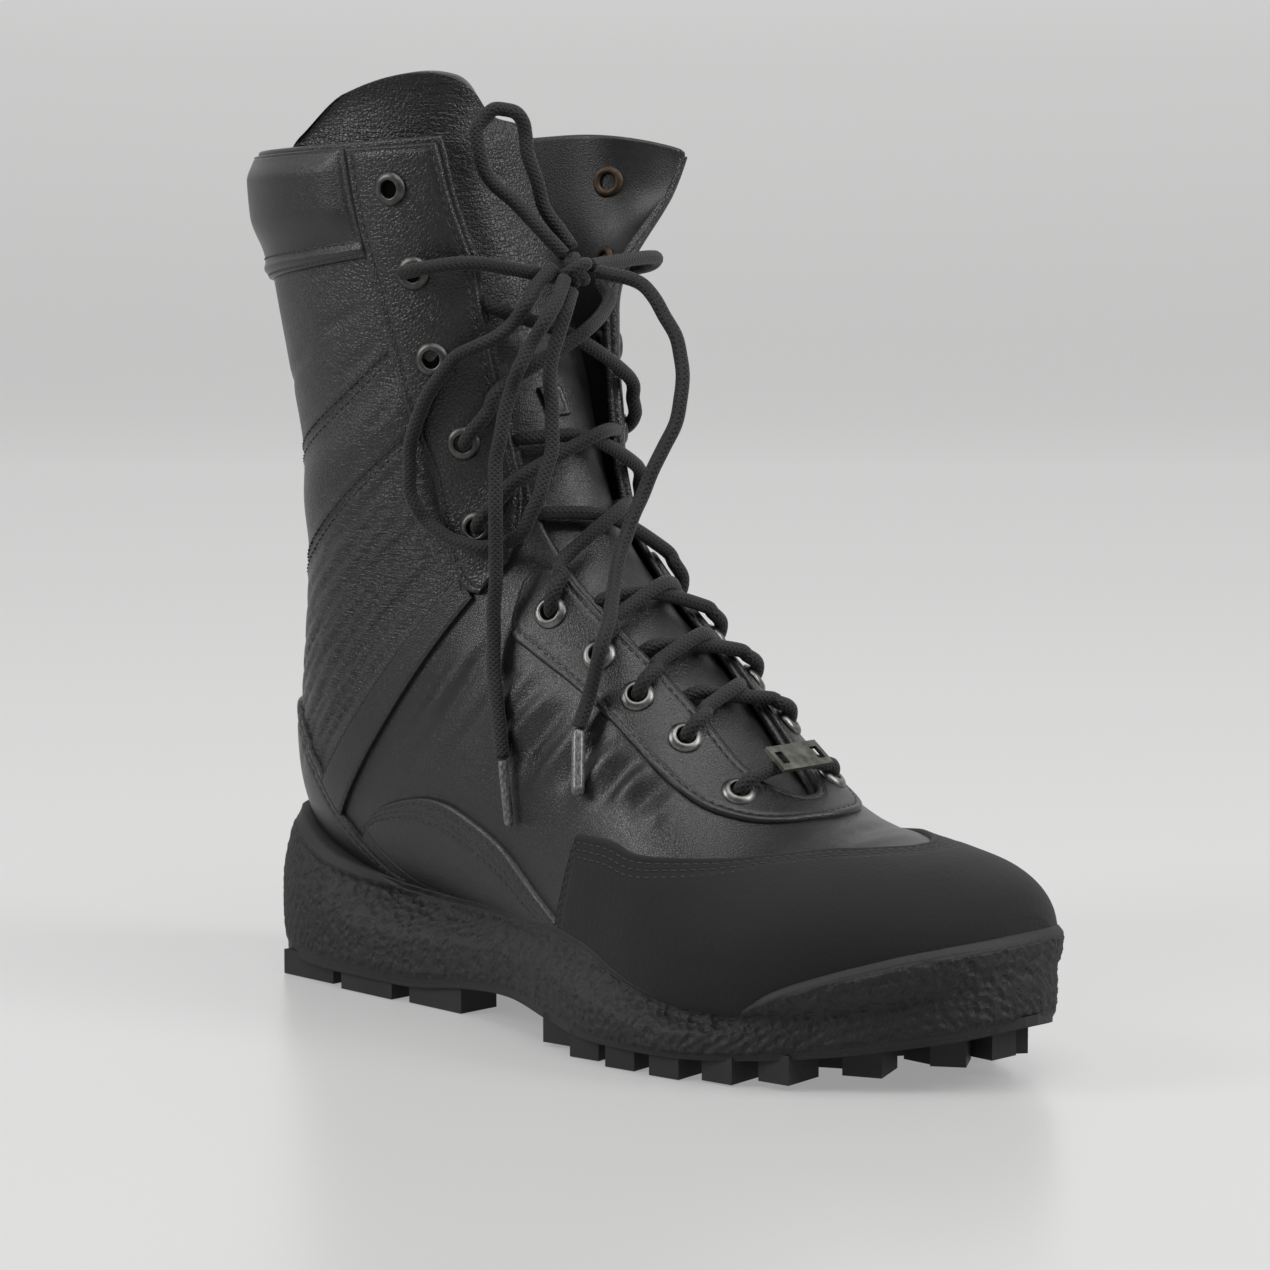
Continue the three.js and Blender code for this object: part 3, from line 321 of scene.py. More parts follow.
def leather(name, dark, light, rough, grain, depth, pores, wrinkles=0.0):
    """Black leather: a pebbled grain of cells, pores, soft blotches, painted shade in the grain's valleys
    and, where it flexes, wrinkles.
    """
    n = Nodes(name)
    pebbles = n.cells(grain, warp=0.0009)
    tops = n.ramp(pebbles, (0.0, 0.0), (0.22, 0.85), (0.6, 1.0))
    pore = n.noise(grain * 3.2, 3.0, 0.6)
    normal = n.bump(pore, pores)
    normal = n.bump(tops, depth, under=normal)
    if wrinkles:
        lines = n.noise(230.0, 3.0, 0.55, (0.6, 0.6, 2.6))
        folds = n.ramp(lines, (0.36, 0.0), (0.5, 1.0), (0.64, 0.15))
        mask = n.add("ShaderNodeAttribute", {"attribute_name": "flex"})
        height = n.math("MULTIPLY", folds, mask.outputs["Fac"])
        normal = n.bump(height, wrinkles, under=normal)
    blotch = n.noise(28.0, 5.0)
    color = n.ramp(blotch, (0.3, dark), (0.72, light))
    # Painted shade: the colour is darkened in the valleys between the pebbles
    valley_painted_shade = n.ramp(pebbles, (0.0, 0.55), (0.14, 1.0))
    mixed = n.mix("MULTIPLY", 0.8, color, valley_painted_shade)
    patches = n.noise(60.0, 4.0)
    roughness = n.math("MULTIPLY_ADD", patches, 0.22, rough - 0.11)
    return n.finish(mixed, roughness, normal, Specular_IOR_Level=0.5)


def nubuck(name):
    """The matte rand: a short nap with faint rubbed patches and small pits."""
    n = Nodes(name)
    nap = n.noise(900.0, 3.0, 0.7)
    cloud = n.noise(35.0, 6.0, 0.6)
    color = n.ramp(cloud, (0.3, (0.006, 0.006, 0.0062)), (0.75, (0.011, 0.011, 0.0113)))
    pits = n.cells(520.0, "F1")
    normal = n.bump(nap, 0.16, 0.8)
    normal = n.bump(pits, 0.12, 0.6, under=normal)
    roughness = n.math("MULTIPLY_ADD", cloud, 0.15, 0.74)
    look = {"Specular_IOR_Level": 0.22, "Sheen_Weight": 0.06, "Sheen_Roughness": 0.6}
    return n.finish(color, roughness, normal, **look)


def rubber(name, cellular):
    """Sole rubber: a cellular, speckled side or a plain moulded skin, with patches of dust."""
    n = Nodes(name)
    dust = n.noise(45.0, 7.0, 0.65)
    speck = n.cells(420.0, "F1")
    specks = n.ramp(speck, (0.0, (0.1, 0.098, 0.095)), (0.15, (0.012, 0.012, 0.0125)))
    plain = n.ramp(dust, (0.35, (0.009, 0.009, 0.0095)), (0.8, (0.024, 0.0235, 0.023)))
    mixed = n.mix("MIX", 0.35 if cellular else 0.12, plain, specks)
    fine = n.noise(800.0, 4.0, 0.7)
    normal = n.bump(fine, 0.1)
    if cellular:
        mask = n.add("ShaderNodeAttribute", {"attribute_name": "rough_side"})
        cell = n.cells(330.0, "F1", warp=0.002)
        pits = n.ramp(cell, (0.1, 0.0), (0.62, 1.0))
        normal = n.bump(n.math("MULTIPLY", pits, mask.outputs["Fac"]), 0.65, under=normal)
        lumps = n.noise(180.0, 4.0, 0.6)
        normal = n.bump(n.math("MULTIPLY", lumps, mask.outputs["Fac"]), 0.8, under=normal)
    roughness = n.math("MULTIPLY_ADD", dust, 0.2, 0.55)
    return n.finish(mixed, roughness, normal, Specular_IOR_Level=0.4)


def braid(name):
    """The round lace: slanted plaits over each other, with a thin fuzz, and painted shade in the grooves
    between the plaits.
    """
    n = Nodes(name)
    coordinates = n.add("ShaderNodeUVMap")
    split = n.tree.nodes.new("ShaderNodeSeparateXYZ")
    n.tree.links.new(coordinates.outputs["UV"], split.inputs[0])
    around, along = split.outputs[0], split.outputs[1]
    turns = n.math("MULTIPLY", around, 2 * math.pi * 7)
    steps = n.math("MULTIPLY", along, 2 * math.pi)
    right = n.math("SINE", n.math("ADD", turns, steps), 0.0)
    left = n.math("SINE", n.math("SUBTRACT", turns, steps), 0.0)
    plait = n.math("MAXIMUM", right, left)
    fuzz = n.noise(1500.0, 3.0, 0.7)
    normal = n.bump(fuzz, 0.12, 0.7)
    normal = n.bump(plait, 0.13, under=normal)
    # Painted shade and highlight: the colour follows the plaits' height, darker in the grooves and lighter on
    # their tops
    color = n.ramp(plait, (0.0, (0.006, 0.006, 0.006)), (1.0, (0.013, 0.013, 0.0133)))
    return n.finish(color, 0.62, normal, Specular_IOR_Level=0.3, Sheen_Weight=0.12, Sheen_Roughness=0.4)


def thread(name):
    n = Nodes(name)
    twist = n.noise(1200.0, 2.0)
    color = n.ramp(twist, (0.3, (0.012, 0.012, 0.012)), (0.7, (0.035, 0.035, 0.035)))
    return n.finish(color, 0.55, n.bump(twist, 0.08), Specular_IOR_Level=0.4)


def gunmetal(name, dark, light, rough):
    """Blackened metal with rubbed bright places."""
    n = Nodes(name)
    rub = n.noise(260.0, 5.0, 0.6)
    color = n.ramp(rub, (0.32, dark), (0.68, light))
    roughness = n.math("MULTIPLY_ADD", rub, 0.25, rough)
    return n.finish(color, roughness, n.bump(rub, 0.03), Metallic=1.0)


def aglet_sleeve(name):
    """Grey woven lace end under a clear tube."""
    n = Nodes(name)
    weave = n.cells(1500.0, "F1", (1, 1, 0.5))
    color = n.ramp(weave, (0.1, (0.16, 0.16, 0.16)), (0.7, (0.045, 0.045, 0.045)))
    return n.finish(color, 0.4, n.bump(weave, 0.1), Coat_Weight=0.5, Coat_Roughness=0.15)


def cloth(name, color_low, color_high):
    n = Nodes(name)
    weave = n.cells(700.0, "F1")
    color = n.ramp(weave, (0.1, color_high), (0.7, color_low))
    return n.finish(color, 0.85, n.bump(weave, 0.25), Specular_IOR_Level=0.2)


LEATHER_DARK = (0.0055, 0.0055, 0.0057)
SMOOTH = leather(
    "smooth_leather", (0.005, 0.005, 0.0052), (0.0085, 0.0085, 0.0087), 0.34, 1200.0, 0.05, 0.04, 0.12
)
SHAFT = leather("upper_leather", LEATHER_DARK, (0.009, 0.009, 0.0092), 0.36, 860.0, 0.11, 0.05, 0.34)
TUMBLED = leather("tumbled_leather", LEATHER_DARK, (0.0095, 0.0095, 0.0097), 0.36, 800.0, 0.11, 0.05)
GRAINED = leather(
    "tongue_leather", (0.005, 0.005, 0.0052), (0.008, 0.008, 0.0082), 0.38, 760.0, 0.11, 0.05, 0.2
)
LINING = leather("lining_leather", (0.004, 0.004, 0.0042), (0.007, 0.007, 0.0072), 0.42, 1100.0, 0.04, 0.04)
RAND = nubuck("rand_nubuck")
SIDEWALL = rubber("sidewall_rubber", True)
OUTSOLE = rubber("sole_rubber", False)
BRAID = braid("lace_cord")
THREAD = thread("seam_thread")
DARK_METAL = gunmetal("eyelet_metal_dark", (0.05, 0.05, 0.05), (0.12, 0.118, 0.112), 0.3)
BRIGHT_METAL = gunmetal("eyelet_metal_worn", (0.09, 0.089, 0.085), (0.24, 0.237, 0.228), 0.26)
COPPERY = gunmetal("eyelet_back_metal", (0.03, 0.024, 0.02), (0.1, 0.07, 0.05), 0.45)
TAG_METAL = gunmetal("tag_metal", (0.08, 0.08, 0.07), (0.2, 0.198, 0.175), 0.3)
SLEEVE = aglet_sleeve("aglet_metal")
FOOTBED_CLOTH = cloth("insole_fabric", (0.012, 0.012, 0.012), (0.035, 0.035, 0.036))


# Meshes


def make_piece(name, points, faces, material, node=None, floats=None, uvs=None):
    """A smooth mesh of points in millimetres that rides on the boot and stands for a CAD node."""
    mesh = bpy.data.meshes.new(name)
    mesh.from_pydata((np.asarray(points) * MM).tolist(), [], [tuple(f) for f in faces])
    mesh.polygons.foreach_set("use_smooth", [True] * len(mesh.polygons))
    for key, values in (floats or {}).items():
        layer = mesh.attributes.new(key, "FLOAT", "POINT")
        layer.data.foreach_set("value", np.asarray(values, float).ravel())
    if uvs is not None:
        layer = mesh.uv_layers.new(name="UVMap")
        corners = np.zeros(len(mesh.loops), int)
        mesh.loops.foreach_get("vertex_index", corners)
        layer.data.foreach_set("uv", np.asarray(uvs, float)[corners].ravel())
    mesh.validate()
    mesh.update()
    piece = bpy.data.objects.new(name, mesh)
    bpy.context.collection.objects.link(piece)
    mesh.materials.append(material)
    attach(piece, "root")
    if node:
        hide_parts(node)
    return piece


def grid_faces(rows, cols, first=0, wrap=False):
    """Quads between rows x cols points, joined round the columns where wrap is set."""
    r, c = np.meshgrid(np.arange(rows - 1), np.arange(cols if wrap else cols - 1), indexing="ij")
    r, c = r.ravel(), c.ravel()
    d = (c + 1) % cols
    quads = np.stack([r * cols + c, r * cols + d, (r + 1) * cols + d, (r + 1) * cols + c], -1)
    return (quads + first).tolist()


def joined_faces(first, *groups):
    """The faces of point groups that are set one after another, the first at a given index."""
    faces = []
    for points, group in groups:
        faces += [tuple(i + first for i in face) for face in group]
        first += len(points)
    return faces


def distances_along(line):
    return np.concatenate([[0], np.cumsum(np.linalg.norm(np.diff(line, axis=0), axis=1))])


RING_STEP = 0.9
BRAID_PITCH = 1.7


def tube(points, radius, sides=12, taper=0.0):
    """Points, faces and braid coordinates of a round cord along a curve, with closed ends."""
    points = np.asarray(points, float)
    count = max(int(np.linalg.norm(np.diff(points, axis=0), axis=1).sum() / RING_STEP), 3)
    dense = curve_through(points, len(points) * 12)
    marks = distances_along(dense)
    length = marks[-1]
    at = np.linspace(0, length, count)
    line = np.stack([np.interp(at, marks, dense[:, k]) for k in range(3)], -1)
    tangent = np.gradient(line, axis=0)
    tangent /= np.linalg.norm(tangent, axis=1, keepdims=True)
    side = np.cross(tangent[0], [0, 0, 1.0])
    if np.linalg.norm(side) < 0.1:
        side = np.cross(tangent[0], [1.0, 0, 0])
    rings, coordinates = [], []
    for k in range(count):
        side = side - tangent[k] * (side @ tangent[k])
        side /= np.linalg.norm(side)
        other = np.cross(tangent[k], side)
        angle = np.linspace(0, 2 * np.pi, sides, endpoint=False)
        end = min(at[k], length - at[k])
        reach = radius * (1 - taper * max(0.0, 1 - end / radius) ** 2)
        ring = line[k] + reach * (np.cos(angle)[:, None] * side + np.sin(angle)[:, None] * other)
        rings.append(ring)
        coordinates.append(np.stack([angle / (2 * np.pi), np.full(sides, at[k] / BRAID_PITCH)], -1))
    faces = grid_faces(count, sides, wrap=True)
    vertices = np.concatenate(rings + [line[:1], line[-1:]])
    first, last = count * sides, count * sides + 1
    for k in range(sides):
        m = (k + 1) % sides
        faces.append((first, m, k))
        faces.append((last, (count - 1) * sides + k, (count - 1) * sides + m))
    coordinates = np.concatenate(coordinates + [[(0.5, 0.0)], [(0.5, length / BRAID_PITCH)]])
    return vertices, faces, coordinates, line, length


def lace_piece(name, node, tubes):
    """Lengths of lace as one piece."""
    vertices = np.concatenate([t[0] for t in tubes])
    faces = joined_faces(0, *(t[:2] for t in tubes))
    uvs = np.concatenate([t[2] for t in tubes])
    return make_piece(name, vertices, faces, BRAID, node, uvs=uvs)


# The camera


def way_to(azimuth, height):
    """The direction from the boot at angles in degrees, the azimuth from straight on its outer side."""
    a, h = math.radians(azimuth), math.radians(height)
    return Vector((math.sin(a) * math.cos(h), -math.cos(a) * math.cos(h), math.sin(h)))


def aim_camera():
    outwards = way_to(CAMERA_AZIMUTH, CAMERA_HEIGHT_ANGLE)
    data = bpy.data.cameras.new("camera")
    data.sensor_width = SENSOR
    data.lens = FOCAL_PIXELS / FRAME_PIXELS * SENSOR
    data.clip_end = 20.0
    camera = bpy.data.objects.new("camera", data)
    bpy.context.collection.objects.link(camera)
    camera.location = (Vector(CAMERA_TARGET) + CAMERA_DISTANCE * outwards) * MM
    camera.rotation_euler = outwards.to_track_quat("Z", "Y").to_euler()
    bpy.context.scene.camera = camera


aim_camera()

# The free lace, with the CAD's route points

KNOT_AT = (71.2, -3.8, 229.4)
STRAND_LATERAL = (
    (41, -48, 229),
    (50, -45, 231),
    (58, -32, 232),
    (64, -6, 227),
)
STRAND_MEDIAL = (
    (40, 51, 226),
    (50, 50, 228),
    (59, 41, 231),
    (71, 2.8, 230.5),
)
LOOP_A = (
    (69.5, -6.8, 234.2), (66, -11, 240), (61, -14, 246), (57, -17, 251), (52, -19, 255), (49, -21, 260),
    (48, -22, 266), (47, -22, 272), (48, -20, 275), (50, -18, 278), (52, -15, 278), (55, -13, 277),
    (56, -11, 274), (56, -10, 270), (57, -10, 264), (59, -8, 256), (60, -6, 248), (64, -3, 241),
    (68, -2, 236),
)
LOOP_C = (
    (68, -10, 230), (69, -17, 226), (70, -23, 220), (67, -26, 214), (65, -31, 210), (61, -36, 207),
    (55, -38, 204), (51, -40, 199), (47, -42, 193), (44, -43, 187), (42, -44, 181), (40, -44, 175),
    (40, -44, 169), (40, -44, 162), (42, -43, 157), (44, -41, 153), (49, -40, 150), (53, -39, 148),
    (58, -38, 147), (63, -36, 146), (68, -33, 147), (73, -32, 149), (77, -31, 152), (79, -30, 157),
    (81, -28, 163), (81, -26, 169), (81, -23, 176), (80, -22, 183), (79, -21, 190), (77, -20, 197),
    (76, -18, 204), (76, -15, 211), (76, -12, 218), (73, -7, 223),
)
END_1 = (
    (77, 0, 229), (81, 3, 228), (85, 6, 227), (89, 8, 225), (93, 9, 221), (96, 10, 216), (100, 11, 210),
    (102, 11, 204), (104, 10, 198), (105, 8, 191), (105, 6, 184), (104, 2, 177), (103, -2, 170),
    (102, -5, 163), (102, -9, 157), (102, -12, 151), (103, -16, 145), (106, -21, 137), (112, -29, 128),
    (114, -34, 121), (112, -35, 112), (110, -36, 104), (109, -39, 96),
)
END_2 = (
    (74, -11, 227), (78, -18, 221), (79, -24, 215), (76, -27, 208), (75, -31, 201), (72, -31, 195),
    (71, -33, 188), (71, -35, 180), (70, -36, 173), (71, -37, 166), (72, -38, 158), (72, -38, 151),
    (72, -38, 143), (72, -38, 136), (71, -38, 128), (71, -38, 119), (72, -39, 110), (74, -40, 104),
    (76, -41, 97), (78, -42, 91), (80, -43, 84),
)
END_1_TIP = (115, -45, 76)
END_2_TIP = (84, -44, 64)
AGLET = 20.0
AGLET_WIDE = 4.0
AGLET_NARROW = 3.0
AGLET_GAP = 0.8


def make_knot():
    """The bow's knot: a wrapped middle with three crossing turns of lace over it."""
    centre = np.array(KNOT_AT)
    view = np.array([0.71, -0.69, 0.14])
    right = np.array([0.7, 0.71, 0.0])
    up = np.cross(view, right)
    pieces = []
    for tilt, forward, reach in ((0.5, 1.2, 3.9), (-0.8, -0.6, 4.0), (1.6, 0.2, 3.6)):
        turn = np.linspace(0, 2 * np.pi, 14)
        wide = math.cos(tilt) * right + math.sin(tilt) * up
        out = [view * (forward + reach * 0.85 * math.sin(a)) for a in turn]
        ring = [centre + o + wide * reach * math.cos(a) for o, a in zip(out, turn)]
        pieces.append(tube(ring, LACE / 2 * 0.92, sides=10))
    pieces.append(tube([centre - up * 4.2 - right, centre, centre + up * 4.2 + right], LACE / 2 * 1.25))
    return lace_piece("bow_knot", "lace_knot", pieces)


def make_aglet(name, node, route, towards, diameter):
    last = np.array(route[-1], float)
    along = np.array(towards) - last
    along /= np.linalg.norm(along)
    start = last + along * 0.3
    end = last + along * (AGLET + AGLET_GAP)
    points = [start + (end - start) * k / 8 for k in range(9)]
    vertices, faces, uvs, _, _ = tube(points, diameter / 2, sides=20, taper=0.35)
    return make_piece(name, vertices, faces, SLEEVE, node, uvs=uvs)


def declare_cord(name, node, route):
    cord = tube(route, LACE / 2)
    piece = lace_piece(name, node, [cord])


knot = make_knot()
aglet_1 = make_aglet("tip_of_end_1", "aglet_1", END_1, END_1_TIP, AGLET_WIDE)
aglet_2 = make_aglet("tip_of_end_2", "aglet_2", END_2, END_2_TIP, AGLET_NARROW)
declare_cord("bow_loop_a", "lace_loop_a", LOOP_A)
declare_cord("bow_loop_c", "lace_loop_c", LOOP_C)
declare_cord("bow_end_1", "lace_end_1", END_1)
declare_cord("bow_end_2", "lace_end_2", END_2)

for bow_node, bow_route in (("lace_strand_lateral", STRAND_LATERAL), ("lace_strand_medial", STRAND_MEDIAL)):
    lace_piece(bow_node + "_braid", bow_node, [tube(bow_route, LACE / 2)])


# Soft creases: width and height in millimetres, then the line's places and turns

CREASES = (
    # Where the ankle bends, across the shaft from the strap up to the second seam
    (1.5, -0.7, ((13.75, 0.3), (13.8, 0.45), (13.7, 0.6))),
    (1.4, -0.8, ((14.0, 0.34), (14.05, 0.47), (14.2, 0.58))),
    (1.2, -0.6, ((14.1, 0.22), (14.25, 0.31), (14.3, 0.4))),
    (1.6, -0.9, ((14.3, 0.42), (14.35, 0.52), (14.25, 0.64))),
    (1.3, -0.7, ((14.45, 0.26), (14.5, 0.37), (14.6, 0.46))),
    (1.5, -0.8, ((14.65, 0.38), (14.7, 0.5), (14.8, 0.6))),
    (1.2, -0.6, ((14.8, 0.18), (14.85, 0.29), (14.8, 0.4))),
    (1.6, -0.9, ((14.95, 0.34), (15.0, 0.46), (15.05, 0.61))),
    (1.3, -0.6, ((15.1, 0.22), (15.15, 0.3), (15.2, 0.38))),
    (1.5, -0.8, ((15.25, 0.4), (15.3, 0.52), (15.25, 0.63))),
    (1.3, -0.7, ((15.4, 0.2), (15.45, 0.33), (15.5, 0.45))),
    (1.5, -0.7, ((15.6, 0.36), (15.6, 0.48), (15.7, 0.59))),
    (1.2, -0.5, ((15.75, 0.18), (15.8, 0.28), (15.75, 0.4))),
    (1.5, -0.7, ((15.95, 0.32), (16.0, 0.44), (16.05, 0.56))),
    (1.3, -0.5, ((16.2, 0.2), (16.25, 0.31), (16.25, 0.42))),
    (1.5, -0.6, ((16.4, 0.4), (16.4, 0.5), (16.5, 0.6))),
    (1.3, -0.4, ((16.55, 0.24), (16.6, 0.34), (16.6, 0.44))),
    # Beside the eyestay, higher up
    (1.8, -0.6, ((17.5, 0.54), (17.55, 0.57), (17.7, 0.6))),
    (1.8, -0.5, ((18.5, 0.48), (18.55, 0.53), (18.7, 0.57))),
    (1.8, -0.5, ((19.2, 0.46), (19.2, 0.5), (19.3, 0.55))),
    (2.2, -0.5, ((18.8, 0.2), (18.9, 0.3), (19.0, 0.4))),
    # The ball's bend: diagonal troughs with the ridges between them, from the facing to the sole
    (2.8, 0.9, ((10.2, 0.69), (10.35, 0.65), (10.5, 0.6), (10.7, 0.56))),
    (2.6, -0.8, ((9.85, 0.69), (9.95, 0.65), (10.1, 0.6), (10.3, 0.56))),
    (2.8, 1.0, ((9.4, 0.7), (9.5, 0.65), (9.65, 0.6), (9.8, 0.56))),
    (2.6, -0.9, ((9.0, 0.72), (9.1, 0.66), (9.25, 0.6))),
    (2.8, 1.0, ((8.6, 0.73), (8.7, 0.69), (8.8, 0.64), (8.9, 0.6))),
    (2.4, -0.8, ((8.25, 0.74), (8.35, 0.69), (8.45, 0.64))),
    (2.6, 0.9, ((7.95, 0.76), (8.05, 0.71), (8.15, 0.67))),
    (2.3, -0.7, ((7.65, 0.76), (7.72, 0.72), (7.8, 0.68))),
    (2.5, 0.7, ((7.35, 0.78), (7.38, 0.73), (7.42, 0.7))),
    (2.6, -0.6, ((11.2, 0.68), (11.2, 0.63), (11.3, 0.57), (11.45, 0.52))),
    (2.8, 0.7, ((10.8, 0.69), (10.85, 0.64), (11.0, 0.58))),
    (2.6, -0.6, ((11.9, 0.67), (11.85, 0.61), (11.9, 0.54), (12.0, 0.48))),
    (2.8, 0.6, ((12.15, 0.65), (12.15, 0.59), (12.2, 0.53))),
    (2.4, -0.5, ((12.55, 0.62), (12.5, 0.55), (12.5, 0.47))),
    # Across the vamp in front of the throat
    (3.0, -0.5, ((5.3, 0.8), (5.1, 0.93), (5.2, 1.05), (5.5, 1.17))),
    (3.0, 0.4, ((4.8, 0.84), (4.65, 0.95), (4.7, 1.06))),
)


CREASE_DEPTH = 1.45
# Creases above this place have their like on the medial side
ANKLE_FROM = 13.0
# The share of the creases that shows through an overlay
OVERLAY_BEND = 0.8


def relief(place, turn, points):
    """How far the creases and the padded band lift the leather at points of the surface."""
    total = np.zeros(len(points))
    lines = []
    for width, shallow, line in CREASES:
        height = shallow * CREASE_DEPTH
        lines.append((width, height, line))
        if line[0][0] > ANKLE_FROM:
            lines.append((width, height * 0.9, tuple((p + 0.06, -t * 0.96) for p, t in line)))
    for width, height, line in lines:
        samples = curve_through(line, 22)
        track = upper_point(samples[:, 0], samples[:, 1])
        fade = np.sin(np.linspace(0.06, np.pi - 0.06, len(track))) ** 0.6
        reach = np.ptp(track, axis=0).max() + 3 * width
        near = np.nonzero(np.abs(points - track[len(track) // 2]).max(axis=1) < reach)[0]
        if len(near) == 0:
            continue
        apart = np.linalg.norm(points[near, None, :] - track[None], axis=2)
        total[near] += height * (fade * np.exp(-((apart / width) ** 2))).max(axis=1)
    turn = np.where(turn > 1, turn - 2, turn)
    band = np.sin(np.clip((place - 16.88) / 1.22, 0, 1) * np.pi) ** 2
    total += 1.3 * band * smooth((0.66 - np.abs(turn)) / 0.06)
    return total


# Stitches lie along lines of (place, turn, lift)

STITCH_PITCH = 3.0
STITCH_LONG = 2.3
STITCH_WIDE = 0.55
SEAM_POINTS = 260


def stitch_meshes(line, normals):
    """Small capsules one after another along a line, sunk a little into the leather."""
    marks = distances_along(line)
    count = int(marks[-1] / STITCH_PITCH)
    points, faces = [], []
    shape = ((-0.5, 0.0), (-0.42, 0.75), (-0.2, 1.0), (0.2, 1.0), (0.42, 0.75), (0.5, 0.0))

    def read(at, rows):
        return np.array([np.interp(at, marks, rows[:, c]) for c in range(3)])

    for k in range(count):
        at = (k + 0.5) * marks[-1] / count
        start, end = (read(at + half, line) for half in (-STITCH_LONG / 2, STITCH_LONG / 2))
        normal = read(at, normals)
        along = end - start
        size = np.linalg.norm(along)
        if size < 0.5:
            continue
        side = np.cross(along / size, normal)
        side /= np.linalg.norm(side)
        normal = np.cross(side, along / size)
        first = len(points)
        middle = (start + end) / 2
        for share, roundness in shape:
            spread = STITCH_WIDE / 2 * roundness
            bow = normal * (0.12 - 1.1 * share * share)
            for a in range(6):
                angle = a * math.pi / 3
                offset = side * spread * math.cos(angle) + normal * spread * math.sin(angle)
                points.append(middle + along * share + offset + bow)
        for row in range(len(shape) - 1):
            for a in range(6):
                b = (a + 1) % 6
                low, high = first + row * 6, first + row * 6 + 6
                faces.append((low + a, low + b, high + b, high + a))
    return np.array(points).reshape(-1, 3), faces


def sewn_piece(name, points, faces, flex, seams, material, node):
    """A leather piece with the stitches of its seams."""
    everything = np.concatenate([points] + [seam[0] for seam in seams])
    flex = np.concatenate([flex, np.zeros(len(everything) - len(flex))])
    threads = joined_faces(len(points), *seams)
    piece = make_piece(name, everything, faces + threads, material, node, floats={"flex": flex})
    piece.data.materials.append(THREAD)
    for polygon in piece.data.polygons[len(faces):]:
        polygon.material_index = 1
    return piece


EDGE_STEPS = np.array([0, 0, 0.1, 0.28, 0.55, 0.9, 1.4, 1.9, 2.4, 2.9, 3.5, 4.2])


def edge_marks(length, count):
    """Shares of a length, the first and last few at the edge steps, per row of lengths."""
    length = np.atleast_1d(np.asarray(length, float))
    near = EDGE_STEPS[None, :] * np.minimum(1, 0.46 * length / EDGE_STEPS[-1])[:, None] / length[:, None]
    share = np.linspace(0, 1, count + 2)[1:-1][None, :]
    middle = near[:, -1:] + (1 - 2 * near[:, -1:]) * share
    return np.concatenate([near, middle, 1 - near[:, ::-1]], axis=1)


def round_edge(distance, thickness, roll=0.9):
    inner = np.clip(distance / roll, 0, 1)
    return thickness * np.sqrt(np.maximum(1 - (1 - inner) ** 2, 0))


class Panel:
    """A leather panel ruled between two lines of places and turns."""

    def __init__(self, first, second, thickness=OVERLAY + GAP, roll=0.9, puff=None):
        self.first = np.array(first, float)
        self.second = np.array(second, float)
        self.thickness = thickness
        self.roll = roll
        self.puff = puff
        sample = np.linspace(0, 1, 60)
        sides = (self.at(sample, 0 * sample + edge) for edge in (0, 1))
        self.height = sum(distances_along(upper_point(*side))[-1] for side in sides) / 2
        self.width_marks = sample
        across = np.linspace(0, 1, 24)
        grid = self.at(sample[:, None] + 0 * across, across[None, :] + 0 * sample[:, None])
        self.widths = np.linalg.norm(np.diff(upper_point(*grid), axis=1), axis=2).sum(axis=1)
        self.grooves = []
        self.stitches = []

    def at(self, v, u):
        """Place and turn at shares v along the lines and u from the first line to the second."""
        rows_a = read_table(self.first, v * (len(self.first) - 1))
        rows_b = read_table(self.second, v * (len(self.second) - 1))
        both = rows_a + (rows_b - rows_a) * u[..., None]
        return both[..., 0], both[..., 1]

    def edge_distance(self, v, u):
        width = np.interp(v, self.width_marks, self.widths)
        return np.minimum.reduce([u * width, (1 - u) * width, v * self.height, (1 - v) * self.height])

    def lift(self, v, u):
        distance = self.edge_distance(v, u)
        lift = round_edge(distance, self.thickness, self.roll)
        for inset, deep, wide in self.grooves:
            lift = lift - deep * np.exp(-(((distance - inset) / wide) ** 2))
        if self.puff is not None:
            lift = lift + self.puff(v, u, distance)
        return lift

    def surface_points(self, v, u):
        place, turn = self.at(v, u)
        flat = upper_point(place.ravel(), turn.ravel())
        bend = relief(place.ravel(), turn.ravel(), flat).reshape(place.shape)
        lift = self.lift(v, u) + bend * OVERLAY_BEND
        normal = upper_normal(place, turn)
        return upper_point(place, turn) + normal * lift[..., None], normal

    def sew(self, edges, insets, deep=0.28, wide=0.55):
        """Grooves all round, with stitches along some edges: the lines a and b, start s and end e."""
        for inset in insets:
            self.grooves.append((inset, deep, wide))
            for edge in edges:
                run = np.linspace(0, 1, SEAM_POINTS)
                ends = inset / self.height
                if edge in "ab":
                    v = ends + (1 - 2 * ends) * run
                else:
                    v = np.full(SEAM_POINTS, ends if edge == "s" else 1 - ends)
                side = np.minimum(inset / np.interp(v, self.width_marks, self.widths), 0.5)
                u = {"a": side, "b": 1 - side}.get(edge, side + (1 - 2 * side) * run)
                self.stitches.append((v, u))

    def build(self, name, node, material, slot, rows=90, cols=40):
        v_marks = edge_marks(self.height, rows)[0]
        width = np.interp(v_marks, self.width_marks, self.widths)
        u = edge_marks(width, cols)
        v = np.repeat(v_marks[:, None], u.shape[1], axis=1)
        points, normal = self.surface_points(v, u)
        skirt = np.zeros(v.shape, bool)
        skirt[[0, -1], :] = True
        skirt[:, [0, -1]] = True
        points = points - normal * (skirt * 0.6)[..., None]
        faces = grid_faces(*v.shape)
        place, turn = self.at(v, u)
        flex = flex_mask(place.ravel(), turn.ravel())
        seams = [stitch_meshes(*self.surface_points(*stitch)) for stitch in self.stitches]
        return sewn_piece(name, points.reshape(-1, 3), faces, flex, seams, material, node)


